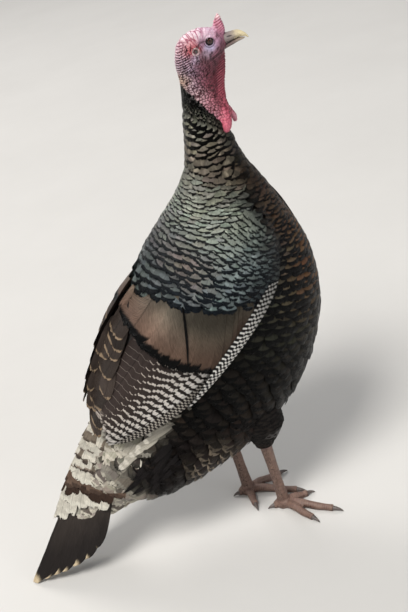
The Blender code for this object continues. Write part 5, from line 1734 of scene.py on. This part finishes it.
def bill_half(rows, upper):
    """Rings of a bill half: keeled above, with its cutting edge along the mouth."""
    rows = curve(rows, 6)
    turn = 2.0 * np.pi * np.arange(28) / 28
    rings = []
    for x, top, bottom, half in rows:
        wide = np.sign(np.cos(turn)) * np.abs(np.cos(turn)) ** 0.85
        tall = np.sign(np.sin(turn)) * np.abs(np.sin(turn)) ** (1.15 if upper else 0.9)
        ring = np.stack([0 * turn + x, half * wide, 0.5 * (top + bottom) + 0.5 * (top - bottom) * tall],
                        axis=1)
        if upper:
            hole = np.exp(-((ring[:, 0] - 0.1165) / 0.0032) ** 2 - ((ring[:, 2] - 0.9345) / 0.0016) ** 2)
            ring[:, 1] *= 1.0 - 0.16 * hole
        rings.append(ring)
    return np.array(rings)


def build_claws():
    horn = grained_material("claw", (0.045, 0.036, 0.032), (0.17, 0.135, 0.12), (0.25, 0.21, 0.18), 0.5)
    lofts = []
    for leg in LEGS.values():
        foot = np.array(leg["foot"], float)
        for name, (length, claw, _) in TOES.items():
            ahead = toe_way(leg, name)
            stops = []
            for k in range(7):
                share = k / 6
                radius = 0.0006 + 0.0044 * (1.0 - share) ** 0.8
                height = 0.0056 - 0.0040 * share + 0.0018 * math.sin(math.pi * share)
                at = foot + ahead * (length - 0.002 + (claw + 0.002) * share) + np.array((0, 0, height))
                stops.append((*at, radius, radius))
            rings = bar(stops, 14, 3, (-ahead[1], ahead[0], 0.0))
            rings[..., 2] = np.maximum(rings[..., 2], 0.0)
            lofts.append(rings)
    solid("claws", lofts, horn, "claw_horn", *[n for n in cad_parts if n.startswith("claw")])


def build_beard():
    """A flat bunch of coarse bristles hanging down the breast, the longest in the middle."""
    line = curve([(x, z, half, 0.0) for x, z, half in BEARD], 8)
    lofts = []
    for k in range(BRISTLES):
        share, reach = k / (BRISTLES - 1) * 2.0 - 1.0, 1.0 - 0.22 * RNG.random()
        rise, drift = 0.0034 * RNG.random() - 0.0050, 0.0012 * (RNG.random() - 0.5)
        stops = []
        for at in np.linspace(0.0, reach * (len(line) - 1), 9):
            x, z, half = (float(np.interp(at, np.arange(len(line)), line[:, c])) for c in (0, 1, 2))
            thick = 0.0007 * (1.0 - 0.55 * at / (len(line) - 1))
            stops.append((x + rise, half * share + drift * at / 8.0, z, thick, thick))
        lofts.append(bar(stops, 6, 2))
    hair = grained_material("bristle", (0.006, 0.005, 0.005), (0.020, 0.015, 0.013), (0.045, 0.032, 0.026),
                            0.25)
    solid("beard_bristles", lofts, hair, "black_feathers", "beard")


def build_eyes():
    for side, mirror in (("right", -1.0), ("left", 1.0)):
        centre = EYE * np.array((1.0, -mirror, 1.0))
        turn = np.linspace(0.06, np.pi - 0.06, 22)
        stops = [(centre[0], centre[1] - mirror * EYEBALL * math.cos(t), centre[2], EYEBALL * math.sin(t),
                  EYEBALL * math.sin(t)) for t in turn]
        rings = np.array([[(x + wide * math.cos(a), y, z + deep * math.sin(a))
                           for a in np.linspace(0, 2 * np.pi, 40, endpoint=False)] for x, y, z, wide,
                           deep in stops])
        solid(f"eyeball_{side}", [rings], eye_material(centre + ORIGIN), "eye", f"eye_{side}")


UPPER_HORN = horn_material("bill_horn", (0.23, 0.185, 0.175), (0.78, 0.66, 0.40), (0.15, 0.11, 0.09), 0.116,
                           0.142)
# The lower bill is the same horn at about half the brightness of the upper.
LOWER_HORN = horn_material("lower_horn", (0.13, 0.088, 0.082), (0.42, 0.34, 0.26), (0.09, 0.06, 0.05),
                           0.116, 0.146)
solid("bill_above", [bill_half(BILL_UPPER, True)], UPPER_HORN, "bill_horn", "bill_upper")
solid("bill_below", [bill_half(BILL_LOWER, False)], LOWER_HORN, "lower_bill_horn", "bill_lower")
build_eyes()
build_claws()
build_beard()


# ---------------------------------------------------------------- floor, light and camera
def build_stage():
    mesh = bpy.data.meshes.new("floor")
    size = 30.0
    corners = [(-size, -size, 0.0), (size, -size, 0.0), (size, size, 0.0), (-size, size, 0.0)]
    mesh.from_pydata(corners, [], [(0, 1, 2, 3)])
    floor = add_object("floor", mesh)
    mesh.materials.append(floor_material())
    for name, place, size, power, tint in (
        ("key", (-3.4, -4.2, 8.6), 3.4, 1000.0, (1.0, 0.98, 0.95)),
        ("fill", (5.0, -6.5, 3.6), 4.5, 130.0, (0.92, 0.96, 1.0)),
        ("back", (-2.0, 5.5, 6.0), 3.0, 260.0, (1.0, 0.98, 0.96)),
    ):
        lamp = bpy.data.lights.new(name, "AREA")
        lamp.energy, lamp.size, lamp.color = power, size, tint
        made = add_object(name, lamp)
        made.location = place
        made.rotation_euler = (Vector((0.0, 0.0, 0.45)) - made.location).to_track_quat("-Z", "Y").to_euler()
    world = bpy.data.worlds.new("room")
    world.use_nodes = True
    world.node_tree.nodes["Background"].inputs["Color"].default_value = (0.78, 0.80, 0.83, 1.0)
    world.node_tree.nodes["Background"].inputs["Strength"].default_value = 0.34
    bpy.context.scene.world = world
    bpy.context.scene.view_settings.view_transform = "Standard"


# The camera from the bird's own origin, in metres back, aside and up, and then its turns.
CAMERA_BACK, CAMERA_ASIDE, CAMERA_HEIGHT = 1.5887, -0.0288, 1.3446
CAMERA_YAW, CAMERA_DIP, CAMERA_ROLL = math.radians(8.0), math.radians(28.723), math.radians(14.3)


def build_camera():
    """A camera at the photograph's viewing angle."""
    lens = bpy.data.cameras.new("camera")
    lens.sensor_fit = "VERTICAL"
    lens.sensor_height = 36.0
    lens.lens = 58.82
    lens.clip_end = 60.0
    made = add_object("camera", lens)
    yaw = Matrix.Rotation(-CAMERA_YAW, 4, "Z")
    dip = Matrix.Rotation(math.pi / 2 - CAMERA_DIP, 4, "X")
    roll = Matrix.Rotation(-CAMERA_ROLL, 4, "Z")
    place = Vector(ORIGIN) + yaw @ Vector((CAMERA_ASIDE, -CAMERA_BACK, CAMERA_HEIGHT))
    made.matrix_world = Matrix.Translation(place) @ yaw @ dip @ roll
    bpy.context.scene.camera = made


build_stage()
build_camera()
